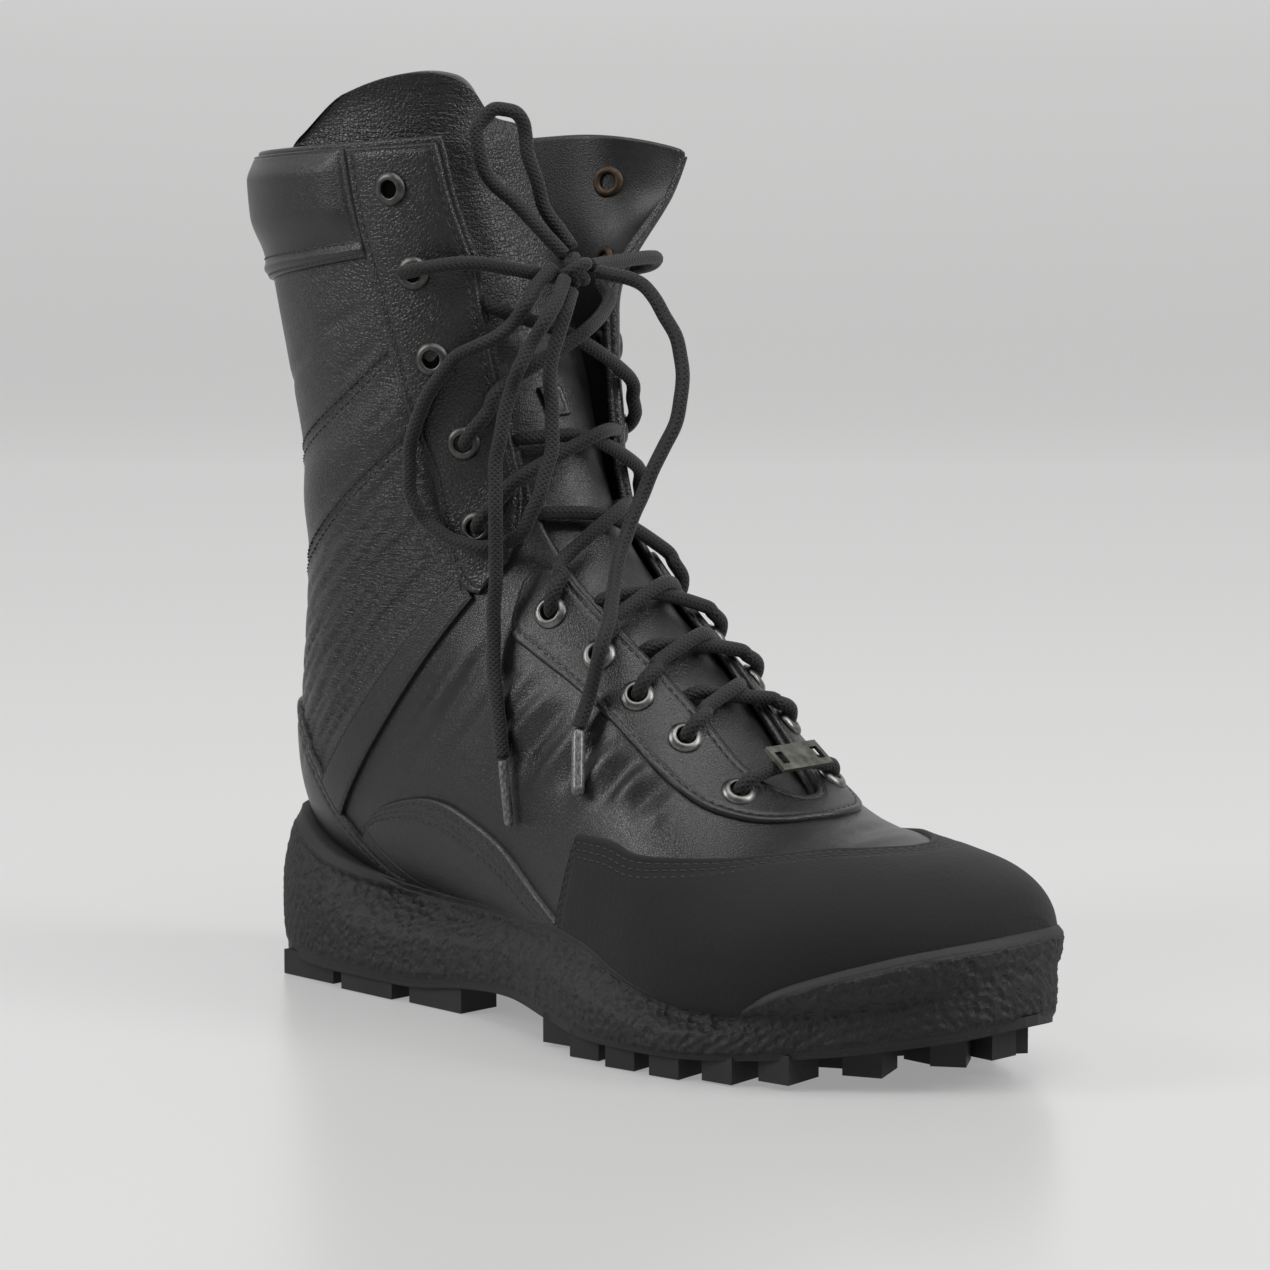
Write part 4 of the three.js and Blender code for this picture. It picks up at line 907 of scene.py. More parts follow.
def flex_mask(place, turn):
    """Where the leather has its fine wrinkles: strongest at the ankle, some over the shaft."""
    turn = np.abs(np.where(turn > 1, turn - 2, turn))
    ankle = np.exp(-(((place - 15.1) / 1.3) ** 2)) * smooth((turn - 0.08) / 0.15)
    shaft = 0.3 * smooth((place - 13.2) / 1) * smooth((21 - place) / 2)
    return np.clip(ankle + shaft, 0, 1)


def rows_panel(rows, **options):
    """A panel from rows of place, first turn and last turn."""
    rows = np.array(rows, float)
    return Panel(rows[:, [0, 1]], rows[:, [0, 2]], **options)


def mirror_low(rows):
    return tuple((p, -b, -a) for p, a, b in rows)


# The open front between the facings: place, first and last turn
THROAT = np.array([
    (6.25, 0.985, 1.015),
    (6.6, 0.955, 1.045),
    (7.1, 0.93, 1.07),
    (8.2, 0.912, 1.088),
    (9.6, 0.876, 1.124),
    (11.3, 0.852, 1.148),
    (13.0, 0.84, 1.16),
    (14.8, 0.834, 1.166),
    (16.9, 0.82, 1.18),
    (18.1, 0.816, 1.184),
    (19.7, 0.797, 1.19),
    (20.7, 0.764, 1.18),
    (22.0, 0.724, 1.16),
    (23.0, 0.7, 1.16),
])
SHAFT_SEAMS = (
    ((18.0, -0.62), (18.05, -0.4), (18.0, -0.2), (18.0, 0.0), (18.0, 0.2), (18.1, 0.46), (18.42, 0.6)),
    ((16.9, -0.61), (16.8, -0.4), (16.75, -0.2), (16.75, 0.0), (16.75, 0.35), (16.81, 0.5), (16.9, 0.625)),
)
SEAM_SHIFT = 0.075
COLLAR_EDGE = 22.0
# The quarter is smooth leather up to this place, and the shaft above it is tumbled
QUARTER_TOP = 13.2
OUTSIDE, EDGE, INSIDE = 1, 0, 2
EDGE_ROLL = 0.008


def wall_relief(place, turn, points):
    total = relief(place, turn, points)
    for seam in SHAFT_SEAMS:
        samples = curve_through(seam, 160)
        track = upper_point(samples[:, 0], samples[:, 1])
        near = np.nonzero((place > 16) & (place < 19))[0]
        for chunk in np.array_split(near, max(1, len(near) // 4000)):
            apart = np.linalg.norm(points[chunk, None, :] - track[None], axis=2).min(axis=1)
            shoulder = 0.25 * np.exp(-(((apart - 2.4) / 1.2) ** 2))
            total[chunk] += shoulder - 0.75 * np.exp(-((apart / 0.9) ** 2))
    return total


def make_wall():
    """The hollow upper: its outside, the lining, and rolled edges round the collar and the throat."""
    over = np.concatenate([np.zeros(230), np.radians(np.linspace(18, 90, 5))])
    places = np.concatenate([np.linspace(THROAT[0, 0], COLLAR_EDGE, 230), np.full(5, COLLAR_EDGE)])
    first = np.interp(places, THROAT[:, 0], THROAT[:, 1])
    last = np.interp(places, THROAT[:, 0], THROAT[:, 2]) - 2
    even = np.linspace(0, 1, 215)
    shares = 0.35 * (0.5 - 0.5 * np.cos(np.pi * even)) + 0.65 * even
    rolls = [math.radians(angle) for angle in (40, 90, 140)]

    # Columns go round the wall: the outside, over its medial edge, the lining and over the other edge
    columns = [(first + (last - first) * share, 1.0, OUTSIDE) for share in shares]
    columns += [(last - EDGE_ROLL * math.sin(a), math.cos(a), EDGE) for a in rolls]
    columns += [(first + (last - first) * share, -1.0, INSIDE) for share in np.linspace(1, 0, 80)]
    columns += [(first + EDGE_ROLL * math.sin(a), math.cos(a), EDGE) for a in rolls[::-1]]
    turn = np.stack([c[0] for c in columns], 1)
    side = np.array([c[1] for c in columns])
    kind = np.array([c[2] for c in columns])
    place = np.repeat(places[:, None], turn.shape[1], axis=1)
    flat_place, flat_turn = place.ravel(), turn.ravel()
    flat = upper_point(flat_place, flat_turn)
    bend = wall_relief(flat_place, flat_turn, flat).reshape(place.shape)
    edge = np.minimum(np.abs(turn - first[:, None]), np.abs(turn - last[:, None]))
    bend = bend * smooth(edge / 0.04)
    half = WALL / 2
    lift = half * side * np.cos(over)[:, None] - half + bend * np.where(kind == INSIDE, 0.3, 1.0)
    points = skin(place + 0.06 * np.sin(over)[:, None], turn, lift)
    flex = flex_mask(flat_place, flat_turn)
    faces = grid_faces(*place.shape, wrap=True)
    seams = []
    for samples in (curve_through(seam, 400) for seam in SHAFT_SEAMS):
        for p in (samples[:, 0] + SEAM_SHIFT, samples[:, 0] - SEAM_SHIFT):
            t = samples[:, 1]
            line = skin(p, t, wall_relief(p, t, upper_point(p, t)) + 0.02)
            seams.append(stitch_meshes(line, upper_normal(p, t)))
    body = points.reshape(-1, 3)
    wall = sewn_piece("upper_leather_shell", body, faces, flex, seams, SHAFT, "upper")
    wall.data.materials.append(LINING)
    wall.data.materials.append(SMOOTH)
    columns_of = len(kind)
    low = (flat_place < QUARTER_TOP).reshape(place.shape)
    for i, polygon in enumerate(wall.data.polygons[:len(faces)]):
        if kind[i % columns_of] == INSIDE:
            polygon.material_index = 2
        elif low[i // columns_of, i % columns_of]:
            polygon.material_index = 3


def make_vamp():
    """The closed front of the upper, before the throat starts."""
    rows, cols = 70, 160
    turns = np.linspace(-1, 1, cols + 1)[:-1]
    place, turn = (g.ravel() for g in np.meshgrid(np.linspace(0, 6.3, rows), turns, indexing="ij"))
    bend = relief(place, turn, upper_point(place, turn))
    points = np.concatenate([skin(place, turn, bend), skin(place, turn, bend - WALL)])
    faces = grid_faces(rows, cols, wrap=True)
    faces += [tuple(reversed(f)) for f in grid_faces(rows, cols, first=len(place), wrap=True)]
    faces.append(tuple(range(cols)))
    flex = {"flex": np.zeros(len(points))}
    make_piece("vamp_leather_shell", points, faces, SMOOTH, "upper", floats=flex)


make_wall()
make_vamp()

# Overlays, each between two lines of places and turns


def mirrored(half):
    """A line of places and turns that ends on the front's middle, with its medial mirror image."""
    return half + tuple((place, 2 - turn) for place, turn in half[-2::-1])


TOE_TOP = mirrored((
    (8.65, 0.57), (8.0, 0.61), (7.45, 0.634), (6.78, 0.686), (5.99, 0.757), (5.2, 0.835), (4.53, 0.905),
    (4.15, 0.97), (4.1, 1.0),
))
TOE_LOW = mirrored((
    (8.95, 0.24), (7.8, 0.23), (6.9, 0.22), (5.6, 0.22), (4.2, 0.24), (2.9, 0.28), (1.7, 0.36),
    (0.7, 0.55), (0.25, 1.0),
))
toe_cap = Panel(TOE_TOP, TOE_LOW, roll=1.1)
toe_cap.sew("ase", (1.9, 3.4, 4.9), 0.4, 0.5)
toe_cap.build("toe_rand", "toe_cap", RAND, "rand_nubuck", rows=170, cols=44)


def make_toe_nose():
    """The rand's front, closed round the very tip behind the rubber."""
    places = np.linspace(0.9, 0, 12)
    turns = np.linspace(-1, 1, 97)[:-1]
    place, turn = np.meshgrid(places, turns, indexing="ij")
    lift = 1.35 + 0.25 * (0.9 - place) / 0.9
    rings = list(skin(place, turn, lift))
    centre = rings[-1].mean(axis=0)
    for share in (0.75, 0.5, 0.25, 0.0):
        forward = np.array([1.2 * (1 - share * share), 0, 0])
        rings.append(centre + (rings[len(places) - 1] - centre) * share + forward)
    faces = grid_faces(len(rings), len(turns), wrap=True)
    make_piece("toe_rand_tip", np.concatenate(rings), faces, RAND, "toe_cap")


make_toe_nose()

COUNTER = (
    (10.9, -0.12, 0.12), (11.4, -0.18, 0.18), (12.0, -0.25, 0.25), (12.3, -0.283, 0.283),
    (12.8, -0.32, 0.32), (13.5, -0.328, 0.328), (14.4, -0.294, 0.294), (15.07, -0.22, 0.22),
    (15.4, -0.13, 0.13),
)
counter = rows_panel(COUNTER, roll=1.2)
counter.sew("abe", (2.8,))
counter.build("heel_counter_leather", "heel_counter", SMOOTH, "smooth_leather", rows=80, cols=70)

BACKSTAY = (
    (15.5, -0.075, 0.075),
    (16.5, -0.06, 0.06),
    (17.8, -0.055, 0.055),
)
backstay = rows_panel(BACKSTAY)
backstay.sew("abe", (1.8,), 0.2, 0.4)
backstay.build("backstay_leather", "backstay", SMOOTH, "smooth_leather", rows=40, cols=14)

COLLAR = (
    (20.05, -0.522, 0.582),
    (20.6, -0.528, 0.57),
    (21.3, -0.532, 0.556),
    (21.95, -0.533, 0.546),
)


def collar_puff(v, _, distance):
    body = smooth((v - 0.2) / 0.3) * smooth((1.04 - v) / 0.3) * smooth(distance / 9)
    seam = np.exp(-(((v - 0.115) / 0.04) ** 2)) * 0.9
    return 2.6 * body + seam * smooth(distance / 2)


collar = rows_panel(COLLAR, roll=1.6, puff=collar_puff)
collar.sew("s", (1.9,), 0.35, 0.5)
collar.sew("s", (6.6,), 0.0)
collar_piece = collar.build("collar_pad", "collar", SMOOTH, "smooth_leather", rows=60, cols=150)

EYESTAY = (
    (12.8, 0.7, 0.765), (13.2, 0.683, 0.8), (14.2, 0.675, 0.83), (15.8, 0.665, 0.826),
    (17.2, 0.633, 0.814), (18.7, 0.607, 0.805), (19.7, 0.586, 0.791), (20.7, 0.563, 0.76),
    (21.92, 0.543, 0.722),
)
EYESTAY_FLAP = (
    (12.8, 1.235, 1.3), (13.2, 1.2, 1.317), (14.2, 1.172, 1.325), (15.8, 1.176, 1.335),
    (17.2, 1.187, 1.367), (18.7, 1.192, 1.393), (19.7, 1.194, 1.414), (20.7, 1.185, 1.437),
    (21.92, 1.165, 1.457),
)


STAY_THICK = 2.1


def stay_puff(v, _, distance):
    """The facing's soft body between its stitches, with shallow dents between the eyelets."""
    return 0.25 * smooth((distance - 2.6) / 3) + 0.2 * np.cos(v * 31) * smooth((distance - 2) / 4)


for stay_name, stay_rows in (("eyestay_lateral", EYESTAY), ("eyestay_medial", EYESTAY_FLAP)):
    stay = rows_panel(stay_rows, thickness=STAY_THICK, roll=1.8, puff=stay_puff)
    stay.sew("abse", (2.4,), 0.4, 0.6)
    stay.build(stay_name + "_leather", stay_name, TUMBLED, "tumbled_leather", rows=120, cols=22)

FACING_OUTER = mirrored((
    (12.2, 0.77), (11.6, 0.707), (10.9, 0.709), (9.84, 0.728), (8.43, 0.754), (7.77, 0.766),
    (7.2, 0.787), (6.73, 0.811), (6.25, 0.852), (5.93, 0.9), (5.76, 0.955), (5.7, 1.0),
))
FACING_INNER = mirrored((
    (12.25, 0.8), (11.9, 0.838), (11.1, 0.85), (10.1, 0.862), (9.0, 0.888), (8.3, 0.903), (7.7, 0.914),
    (7.15, 0.924), (6.8, 0.938), (6.55, 0.955), (6.35, 0.977), (6.3, 1.0),
))
facing = Panel(FACING_OUTER, FACING_INNER, roll=1.0)
facing.sew("abse", (2.6,))
facing.build("lower_facing_leather", "lower_facing", SMOOTH, "smooth_leather", rows=240, cols=22)

STRAP = (
    (12.86, 0.31, 0.69),
    (13.0, 0.315, 0.69),
    (13.4, 0.32, 0.69),
    (13.52, 0.324, 0.69),
)
SIDE_PANEL = (
    (8.3, 0.2, 0.36), (8.65, 0.2, 0.4), (9.02, 0.2, 0.43), (9.9, 0.2, 0.47), (10.66, 0.2, 0.475),
    (11.3, 0.2, 0.468), (11.76, 0.24, 0.446), (12.2, 0.28, 0.4), (12.38, 0.3, 0.35),
)
for part_side, turned in (("lateral", tuple), ("medial", mirror_low)):
    strap = rows_panel(turned(STRAP), roll=1.0)
    strap.sew("se", (1.8,), 0.3, 0.5)
    strap_name = "ankle_strap_" + part_side
    strap.build(strap_name + "_leather", strap_name, SMOOTH, "smooth_leather", rows=10, cols=110)
    arch = rows_panel(turned(SIDE_PANEL), roll=1.1)
    arch.sew("be" if part_side == "lateral" else "ae", (1.8, 4.0, 6.4), 0.3, 0.45)
    arch_name = "side_panel_" + part_side
    arch.build(arch_name + "_leather", arch_name, SMOOTH, "smooth_leather", rows=70, cols=60)

# The tongue, the keeper on it and the footbed

# How far the tongue's top edge stands above or below its row, in sections, from its lateral edge on
TOP_LINE = np.array([-0.1, 0.7, 0.92, 0.78, 0.42, 0.08, -0.2, -0.42, -0.65])


def tongue_point(row, share, lift, raised=0.0):
    columns = np.moveaxis(read_table(TONGUE, row), -1, 0)
    place, start, end, lateral, middle, medial = columns[:6]
    turn = start + (end - start) * share
    edges = lateral + (medial - lateral) * share
    rise = middle - (lateral + medial) / 2
    depth = edges + rise * 4 * share * (1 - share)
    return skin(place + raised, turn, lift - WALL - GAP - depth, straight_point)


def tongue_puff(row, share):
    """The padded top and the soft gusset fold low on the lateral side."""
    top = smooth((row - 7.6) / 1.6) * 1.5 * (4 * share * (1 - share)) ** 0.6
    ribs = 0.2 * smooth((row - 7.6) / 1) * np.cos((row - 8.6) * 5.2)
    fold = 1.2 * np.exp(-(((share - 0.2) / 0.07) ** 2)) * np.exp(-(((row - 4.4) / 0.9) ** 2))
    return top + ribs * (4 * share * (1 - share)) ** 0.5 + fold


def make_tongue():
    over = np.linspace(0.2, np.pi / 2, 7)
    rows = np.concatenate([np.linspace(0, 9.9, 150), 9.9 + 0.1 * np.sin(over)])
    thin = np.concatenate([np.ones(150), np.cos(over)])
    face = np.linspace(0, 1, 90)
    front = np.repeat((1.0, -1.0), len(face))
    row, share = np.meshgrid(rows, np.concatenate([face, face[::-1]]), indexing="ij")
    upper_rows = smooth((row - 6.5) / 2.5)
    tilt = read_table(TOP_LINE[:, None], share * (len(TOP_LINE) - 1))[..., 0] * smooth((row - 7.8) / 2.2)
    thick = read_table(TONGUE, row)[..., 6]
    round_side = np.clip(1 - np.abs(2 * share - 1) ** 10, 0, 1) ** 0.5
    lift = -thick / 2 + front * thick / 2 * round_side * thin[:, None]
    lift = lift + tongue_puff(row, share) * (front > 0) * round_side * thin[:, None]
    moved = share - upper_rows * (0.08 + 0.06 * share)
    points = tongue_point(row, moved, lift, tilt).reshape(-1, 3)
    flex = {"flex": 0.5 * smooth((row.ravel() - 3) / 2)}
    faces = grid_faces(*row.shape, wrap=True)
    piece = make_piece("tongue_pad", points, faces, GRAINED, "tongue", floats=flex)
    piece.data.materials.append(SMOOTH)
    for i, polygon in enumerate(piece.data.polygons):
        if rows[i // row.shape[1]] < 6.2:
            polygon.material_index = 1


make_tongue()


def make_tongue_foot():
    """The tongue's lining where it is sewn in under the foot of the throat."""
    place, turn = np.meshgrid(np.linspace(5.9, 7.3, 24), np.linspace(0.89, 1.11, 40), indexing="ij")
    lift = -1.6 - 1.2 * smooth((place - 6.4) / 0.8)
    points = skin(place, turn, lift).reshape(-1, 3)
    flex = {"flex": np.zeros(len(points))}
    make_piece("tongue_foot", points, grid_faces(24, 40), SMOOTH, "tongue", floats=flex)


make_tongue_foot()


# About how many millimetres a row of the tongue is high, and how wide the tongue is there
TONGUE_ROW = 30.0
TONGUE_WIDE = 90.0


def make_keeper():
    rows = np.linspace(5.08, 5.52, 26)
    shares = np.linspace(0.44, 0.56, 26)
    row, share = np.meshgrid(rows, shares, indexing="ij")
    along = np.minimum(row - rows[0], rows[-1] - row) * TONGUE_ROW
    across = np.minimum(share - shares[0], shares[-1] - share) * TONGUE_WIDE
    distance = np.minimum(along, across)
    lift = 0.1 + round_edge(distance, 1.5, 0.7) - 0.25 * np.exp(-(((distance - 1.8) / 0.5) ** 2))
    points = tongue_point(row, share, lift + tongue_puff(row, share)).reshape(-1, 3)
    faces = grid_faces(26, 26)
    flex = {"flex": np.zeros(len(points))}
    make_piece("lace_keeper_tab", points, faces, SMOOTH, "lace_keeper", floats=flex)


make_keeper()


def make_footbed():
    rows, cols = 90, 50
    place, turn = np.meshgrid(np.linspace(1.3, 12.3, rows), np.linspace(-0.3, 0.3, cols), indexing="ij")
    hollow = 0.5 * smooth((0.12 - np.abs(turn)) / 0.12)
    upper = skin(place, turn, -WALL - GAP - 3.6 - hollow)
    under = skin(place, turn, np.full(place.shape, -WALL - GAP - 0.2))
    points = np.concatenate([upper.reshape(-1, 3), under.reshape(-1, 3)])
    faces = grid_faces(rows, cols)
    faces += [tuple(reversed(f)) for f in grid_faces(rows, cols, first=rows * cols)]
    make_piece("footbed_cloth", points, faces, FOOTBED_CLOTH, "insole")


make_footbed()

# The rubber: how far the sidewall's profile lies inwards, in shares of its bulge, from its foot up

SOLE_SIDE = np.array([
    (0.0, 0.55),
    (0.1, 0.1),
    (0.45, 0.0),
    (0.85, 0.25),
    (1.0, 0.9),
])

# The sidewall runs this far down over the edge of the outsole
SKIRT = 4.0

# Height of the sidewall's upper edge on the lateral side: share of the sole's length, millimetres
TOP_EDGE = np.array([
    (0.0, 52.0),
    (0.01, 53.0),
    (0.035, 51.5),
    (0.075, 47.0),
    (0.13, 41.0),
    (0.2, 36.5),
    (0.28, 35.0),
    (0.36, 35.5),
    (0.44, 36.0),
    (0.52, 36.0),
    (0.585, 33.5),
    (0.62, 29.5),
    (0.66, 25.5),
    (0.72, 21.5),
    (0.78, 22.5),
    (0.8, 23.0),
    (0.818, 27.5),
    (0.84, 31.0),
    (0.89, 37.0),
    (0.935, 41.5),
    (0.97, 44.0),
    (1.0, 45.5),
])
# How much heights count when the leather nearest to the rubber is looked up
LEVEL_WEIGHT = 5.0
# How far the rubber stands outside the leather, at the lip and at the toe bumper
HUG = 1.9
BUMPER_THICK = 3.4


def level_key(point):
    return Vector((point[0], point[1], point[2] * LEVEL_WEIGHT))


def upper_tree():
    """The upper's outside as points to look up, with heights counted LEVEL_WEIGHT times."""
    place, turn = np.meshgrid(np.linspace(0, 14.5, 220), np.linspace(-1, 1, 300), indexing="ij")
    cloud = upper_point(place.ravel(), turn.ravel())
    tree = kdtree.KDTree(len(cloud))
    for i, p in enumerate(cloud):
        tree.insert(level_key(p), i)
    tree.balance()
    return cloud, tree


def reach_of_upper(points, outwards, found):
    """How far the upper stands outside of points at their own height, along their outward ways."""
    cloud, tree = found
    near = [tree.find(level_key(p))[1] for p in points]
    return ((cloud[near] - points)[:, :2] * outwards).sum(axis=1)


def make_midsole():
    """The sidewall as one closed outline with a smooth profile that closes on the leather."""
    x = SOLE[:, 0] * SOLE_LENGTH - SOLE_BACK
    drift = SOLE[:, 3] * BALL_WIDTH
    heights = SOLE[:, 4:] * HEEL_STACK
    lateral = np.stack([x, drift - SOLE[:, 1] * BALL_WIDTH, heights[:, 0], heights[:, 1]], 1)
    medial = np.stack([x, drift + SOLE[:, 2] * BALL_WIDTH, heights[:, 0], heights[:, 2]], 1)
    outline = np.concatenate([lateral[1:-1], (lateral[-1:] + medial[-1:]) / 2, medial[1:-1][::-1]])
    outline = np.concatenate([outline, (lateral[:1] + medial[:1]) / 2])
    wrapped = np.concatenate([outline[-3:], outline, outline[:4]])
    fine = read_table(wrapped, np.linspace(3, 3 + len(outline), 701))[:-1]
    ahead = np.roll(fine[:, :2], -2, axis=0) - np.roll(fine[:, :2], 2, axis=0)
    outwards = np.stack([ahead[:, 1], -ahead[:, 0]], 1)
    outwards /= np.linalg.norm(outwards, axis=1, keepdims=True)
    level = (fine[:, 0] + SOLE_BACK) / SOLE_LENGTH
    low = fine[:, 2] - SKIRT
    table_top = np.interp(level, SOLE[:, 0], SOLE[:, 5] * HEEL_STACK)
    high = fine[:, 3] + np.interp(level, TOP_EDGE[:, 0], TOP_EDGE[:, 1]) - table_top
    high = sum(np.roll(high, k) for k in range(-4, 5)) / 9
    ups = np.concatenate([np.linspace(0, 0.12, 6), np.linspace(0.17, 0.82, 20), np.linspace(0.86, 1, 9)])
    inwards = read_table(SOLE_SIDE, np.interp(ups, SOLE_SIDE[:, 0], np.arange(5)))[:, 1]
    at_toe = smooth((level - 0.775) / 0.03)
    most_lean = 2.5 + 9 * smooth((level - 0.1) / 0.15)
    found = upper_tree()
    start = fine[:, :2] - outwards * (0.55 * SIDE_BULGE + 3)
    rings = [np.concatenate([start, (low + 0.1)[:, None]], 1)]
    masks = [0]
    for up, inward in zip(ups, inwards):
        height = low + up * (high - low)
        inward = min(inward, 0.3) if up < 0.1 else inward
        ring = np.concatenate([fine[:, :2] - outwards * inward * SIDE_BULGE, height[:, None]], 1)
        reach = reach_of_upper(ring, outwards, found)
        thick = HUG + (BUMPER_THICK - HUG) * at_toe * smooth((1.02 - up) / 0.1)
        push = np.maximum(reach + thick, 0) * at_toe * smooth(up / 0.3)
        lean = np.clip(reach + thick, -most_lean, 0) * smooth((up - 0.5) / 0.5) * 0.97
        ring[:, :2] += outwards * (push + lean)[:, None]
        rings.append(ring)
        masks.append(smooth((up - 0.1) / 0.05) * smooth((0.93 - up) / 0.05))
    lip = rings[-1]
    reach = reach_of_upper(lip, outwards, found)
    for share in (0.15, 0.45, 0.75, 1.0):
        ring = lip.copy()
        ring[:, :2] += outwards * ((reach - 1.0) * share)[:, None]
        slope = 0.45 * np.maximum(-reach - HUG, 0) * math.sin(math.pi / 2 * share)
        ring[:, 2] += slope + 0.35 * math.sin(math.pi * min(share * 1.6, 1)) - 0.8 * share**3
        rings.append(ring)
        masks.append(0)
    points = np.stack(rings)
    rough = np.repeat(np.array(masks)[:, None], points.shape[1], axis=1)
    bumpy = 0.35 * np.sin(points[..., 0] * 2.1) * np.sin(points[..., 2] * 1.9 + points[..., 1] * 1.7)
    points[..., :2] += outwards[None] * (bumpy * rough)[..., None]
    faces = grid_faces(points.shape[0], points.shape[1], wrap=True)
    points = points.reshape(-1, 3)
    rough_side = {"rough_side": rough.ravel()}
    make_piece("midsole_rubber", points, faces, SIDEWALL, "midsole", floats=rough_side)


make_midsole()


def dress_solid(name, material, width, segments):
    """A hard CAD solid that stays, with its material and rounded edges."""
    solid = bpy.data.objects[name]
    solid.data.materials.clear()
    solid.data.materials.append(material)
    bevel = solid.modifiers.new("rounded edges", "BEVEL")
    bevel.width = width * MM
    bevel.segments = segments
    bevel.limit_method = "ANGLE"


dress_solid("outsole", OUTSOLE, 0.7, 2)

# The eyelets

EYELET_PROFILE = (
    (2.7, -3.4), (2.7, 0.7), (2.78, 1.1), (3.0, 1.35), (3.4, 1.45), (4.0, 1.32), (4.6, 0.98),
    (5.05, 0.5), (5.25, 0.15), (5.3, -0.25),
)
BACK_PROFILE = (
    (2.6, -0.1), (2.7, 0.7), (3.6, 1.0), (4.6, 0.7), (5.1, 0.0),
)
EYELET_SEAT = 1.75
# A near-black disc across each eyelet's hole is painted shade for the dark inside of the hole
BORE_SHADE_DISC = (2.75, -0.1)
EYELET_SIDES = 40
BACK_SIDES = 32
# The disc's material is painted shade: near black and matte
BORE_SHADE = Nodes("eyelet_bore_painted_shade").finish((0.002, 0.002, 0.002), 0.9, Specular_IOR_Level=0.05)

# The shaft facings are thicker than the lower one, so their eyelets sit higher
STAY_RISE = 0.75
SHAFT_EYELETS = 5


def ring_points(seat, axis, radius, height, sides, wave=0.0):
    """A circle round an axis, its radius waving three times round where wave is set."""
    first = axis.orthogonal().normalized()
    second = axis.cross(first)
    points = []
    for k in range(sides):
        a = 2 * math.pi * k / sides
        reach = radius + wave * math.sin(3 * a)
        points.append(tuple(seat + reach * (math.cos(a) * first + math.sin(a) * second) + axis * height))
    return points


def make_eyelets():
    for side in ("lateral", "medial"):
        for number, (place, turn) in enumerate(EYELETS, 1):
            around = turn if side == "lateral" else 2 - turn
            seat = Vector(skin(place, around, EYELET_SEAT + STAY_RISE * (number <= SHAFT_EYELETS)))
            axis = Vector(upper_normal(place, around))
            points = []
            for radius, height in (*EYELET_PROFILE, BORE_SHADE_DISC):
                points += ring_points(seat, axis, radius, height, EYELET_SIDES)
            faces = grid_faces(len(EYELET_PROFILE), EYELET_SIDES, wrap=True)
            # The closing face across the hole is the painted-shade disc
            faces.append(tuple(range(len(points) - EYELET_SIDES, len(points))))
            metal = DARK_METAL if number <= SHAFT_EYELETS else BRIGHT_METAL
            name = f"{side}_{number}"
            ring = make_piece("eyelet_ring_" + name, points, faces, metal, "eyelet_" + name)
            # The disc across the hole gets the painted-shade material
            ring.data.materials.append(BORE_SHADE)
            ring.data.polygons[len(ring.data.polygons) - 1].material_index = 1


def make_eyelet_backs():
    """The rough coppery washers behind the medial eyelets, which the folded flap shows."""
    for number, (place, turn) in enumerate(EYELETS[:3], 1):
        axis = Vector(upper_normal(place, 2 - turn))
        seat = Vector(skin(place, 2 - turn, -WALL - 0.1))
        points = []
        for radius, height in BACK_PROFILE:
            points += ring_points(seat, axis, radius, -height, BACK_SIDES, 0.12 * (radius > 4))
        faces = grid_faces(len(BACK_PROFILE), BACK_SIDES, wrap=True)
        make_piece(f"eyelet_back_{number}", points, faces, COPPERY)


make_eyelets()
make_eyelet_backs()

# The lacing through the eyelets

CROSSINGS = (
    (9, 8), (8, 7), (7, 6), (6, 5), (5, 4), (4, 2),
)


def strand_points(lower, upper, side):
    """From inside one eyelet, out over its lip and the throat, and under the other facing."""
    low_place, low_turn = EYELETS[lower - 1]
    high_place, _ = EYELETS[upper - 1]
    edge = float(np.interp(high_place - 0.5, THROAT[:, 0], THROAT[:, 1]))
    near_edge = float(np.interp(low_place + 0.2, THROAT[:, 0], THROAT[:, 1]))
    rise = high_place - 0.35 - low_place
    middle = 4.3 if side > 0 else 0.1
    rise_up = STAY_RISE * (lower <= SHAFT_EYELETS)
    rows = (
        (low_place, low_turn, -2.6),
        (low_place, low_turn + 0.004, 2.4 + rise_up),
        (low_place + 0.05 * rise, low_turn + 0.025, 5.3 + rise_up),
        (low_place + 0.12 * rise, low_turn + 0.055, 4.7 + rise_up),
        (low_place + 0.25 * rise, near_edge, 3.9 + rise_up),
        (low_place + 0.5 * rise, 1.0, middle),
        (low_place + 0.78 * rise, 2 - edge - 0.035, 0.2 if side > 0 else 0.0),
        (low_place + 0.9 * rise, 2 - edge + 0.01, -3.6),
        (low_place + 0.97 * rise, 2 - edge + 0.05, -4.9),
    )
    return [skin(p, t if side > 0 else 2 - t, h) for p, t, h in rows]


for crossing_low, crossing_high in CROSSINGS:
    crossing = f"{crossing_low}_{crossing_high}"
    crossing_lines = [strand_points(crossing_low, crossing_high, s) for s in (1, -1)]
    crossing_tubes = [tube(line, LACE / 2) for line in crossing_lines]
    lace_piece("crossed_lace_" + crossing, "lace_crossing_" + crossing, crossing_tubes)

BAR = (
    (0.0, -2.4), (0.002, 2.4), (0.02, 5.2), (0.045, 5.2), (0.075, 5.6), (0.125, 5.4),
)
bar_place, bar_turn = EYELETS[9]
bar_side = [skin(bar_place, bar_turn + t, h) for t, h in BAR]
bar_other = [skin(bar_place, 2 - bar_turn - t, h) for t, h in BAR][::-1]
lace_piece("bottom_bar_lace", "lace_bottom_bar", [tube(bar_side + bar_other[1:], LACE / 2)])

dress_solid("lace_tag", TAG_METAL, 0.35, 3)

# The pale floor, which curves up behind the boot, and soft light


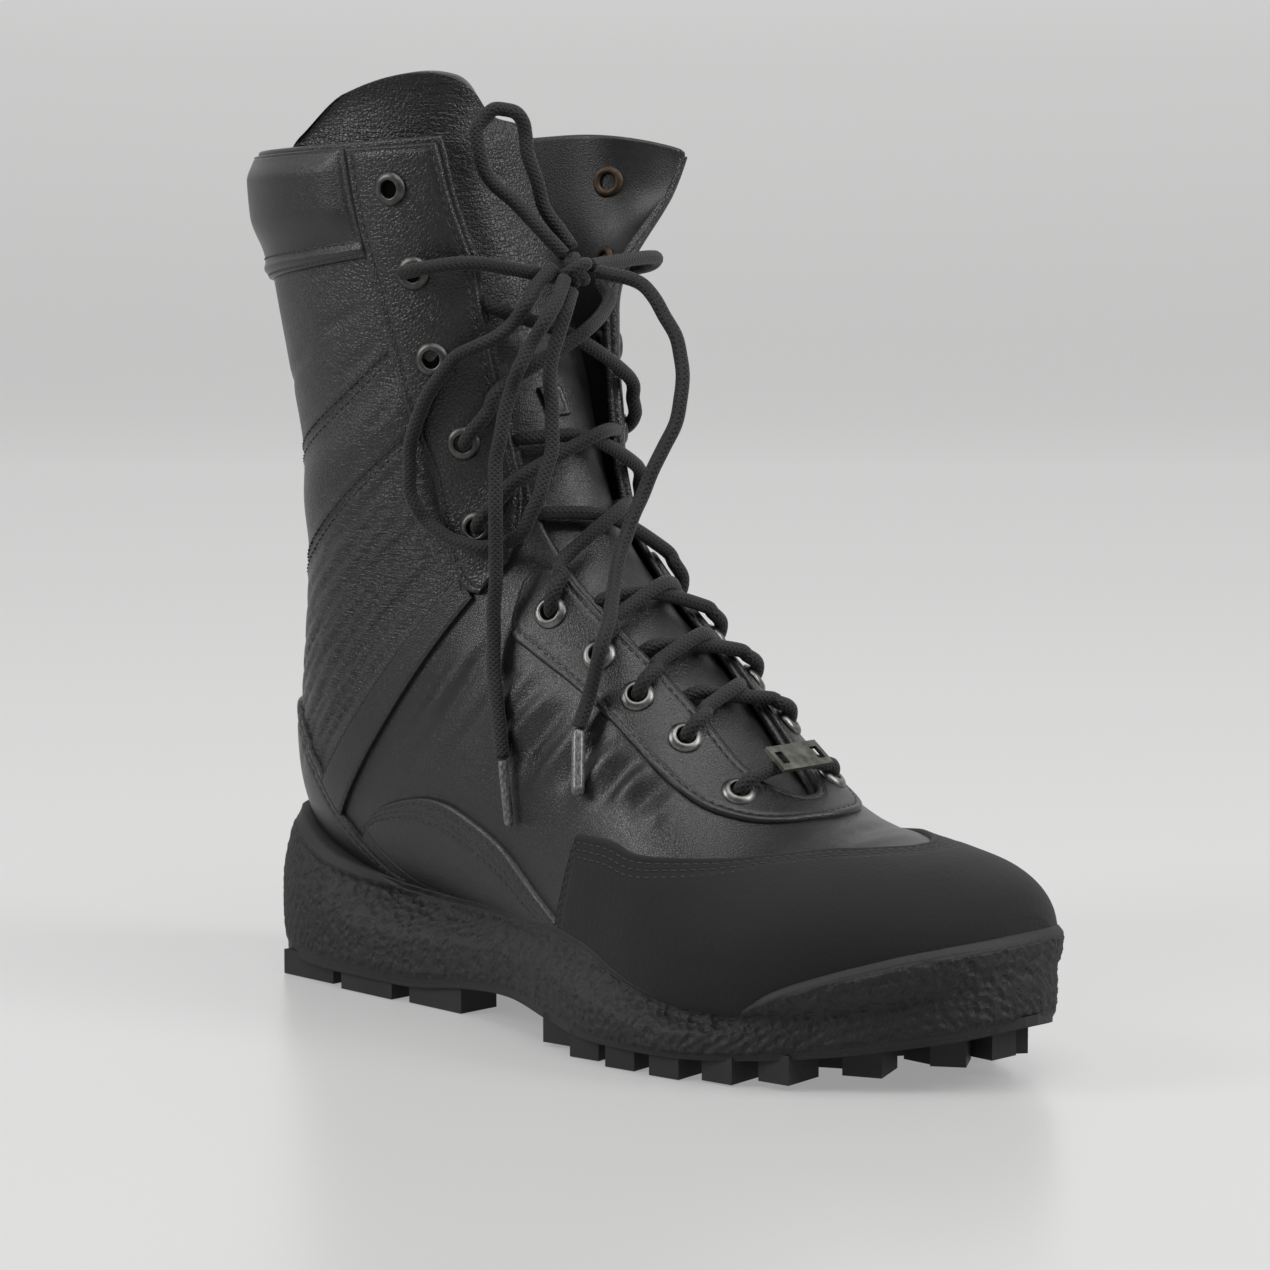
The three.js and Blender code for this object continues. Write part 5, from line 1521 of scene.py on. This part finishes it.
def make_stage():
    n = Nodes("studio_floor")
    split = n.tree.nodes.new("ShaderNodeSeparateXYZ")
    n.tree.links.new(n.place(), split.inputs[0])
    glow = n.ramp(split.outputs[2], (0.0, 0.3), (0.25, 0.42), (0.8, 0.74))
    glowing = {"Emission_Color": glow, "Emission_Strength": 1.0}
    n.finish((0.25, 0.249, 0.246), 0.3, Specular_IOR_Level=0.3, **glowing)
    profile = [(-4.0, 0.0), (1.6, 0.0)]
    profile += [(1.6 + 0.8 * math.sin(a), 0.8 - 0.8 * math.cos(a)) for a in np.linspace(0.1, math.pi / 2, 16)]
    profile += [(2.4, 4.0)]
    azimuth = math.radians(CAMERA_AZIMUTH)
    away = np.array([-math.sin(azimuth), math.cos(azimuth)])
    across = np.array([math.cos(azimuth), math.sin(azimuth)])
    points = []
    for d, z in profile:
        for s in (-5.0, 5.0):
            spot = away * d + across * s
            points.append((spot[0], spot[1], z - 0.0002))
    mesh = bpy.data.meshes.new("floor")
    mesh.from_pydata(points, [], grid_faces(len(profile), 2))
    mesh.polygons.foreach_set("use_smooth", [True] * len(mesh.polygons))
    floor = bpy.data.objects.new("floor", mesh)
    bpy.context.collection.objects.link(floor)
    mesh.materials.append(n.material)


make_stage()


LIGHTS_AIM = Vector((0.09, 0, 0.12))
WORLD_LIGHT = 0.22


def area_light(name, azimuth, height, distance, size, power):
    """A soft light aimed at the boot, its azimuth counted like the camera's."""
    way = way_to(azimuth, height)
    data = bpy.data.lights.new(name, "AREA")
    data.shape = "RECTANGLE"
    data.size, data.size_y = size
    data.energy = power
    light = bpy.data.objects.new(name, data)
    bpy.context.collection.objects.link(light)
    light.location = LIGHTS_AIM + way * distance
    light.rotation_euler = way.to_track_quat("Z", "Y").to_euler()


area_light("overhead", 60, 72, 1.7, (1.3, 1.3), 19)
area_light("left_box", -30, 30, 1.9, (0.6, 1.2), 20)
area_light("right_box", 118, 34, 1.9, (0.6, 1.2), 22)

world = bpy.data.worlds.new("studio")
bpy.context.scene.world = world
world.use_nodes = True
background = world.node_tree.nodes["Background"].inputs
background["Color"].default_value = (0.9, 0.9, 0.9, 1)
background["Strength"].default_value = WORLD_LIGHT
bpy.context.scene.view_settings.view_transform = "Standard"
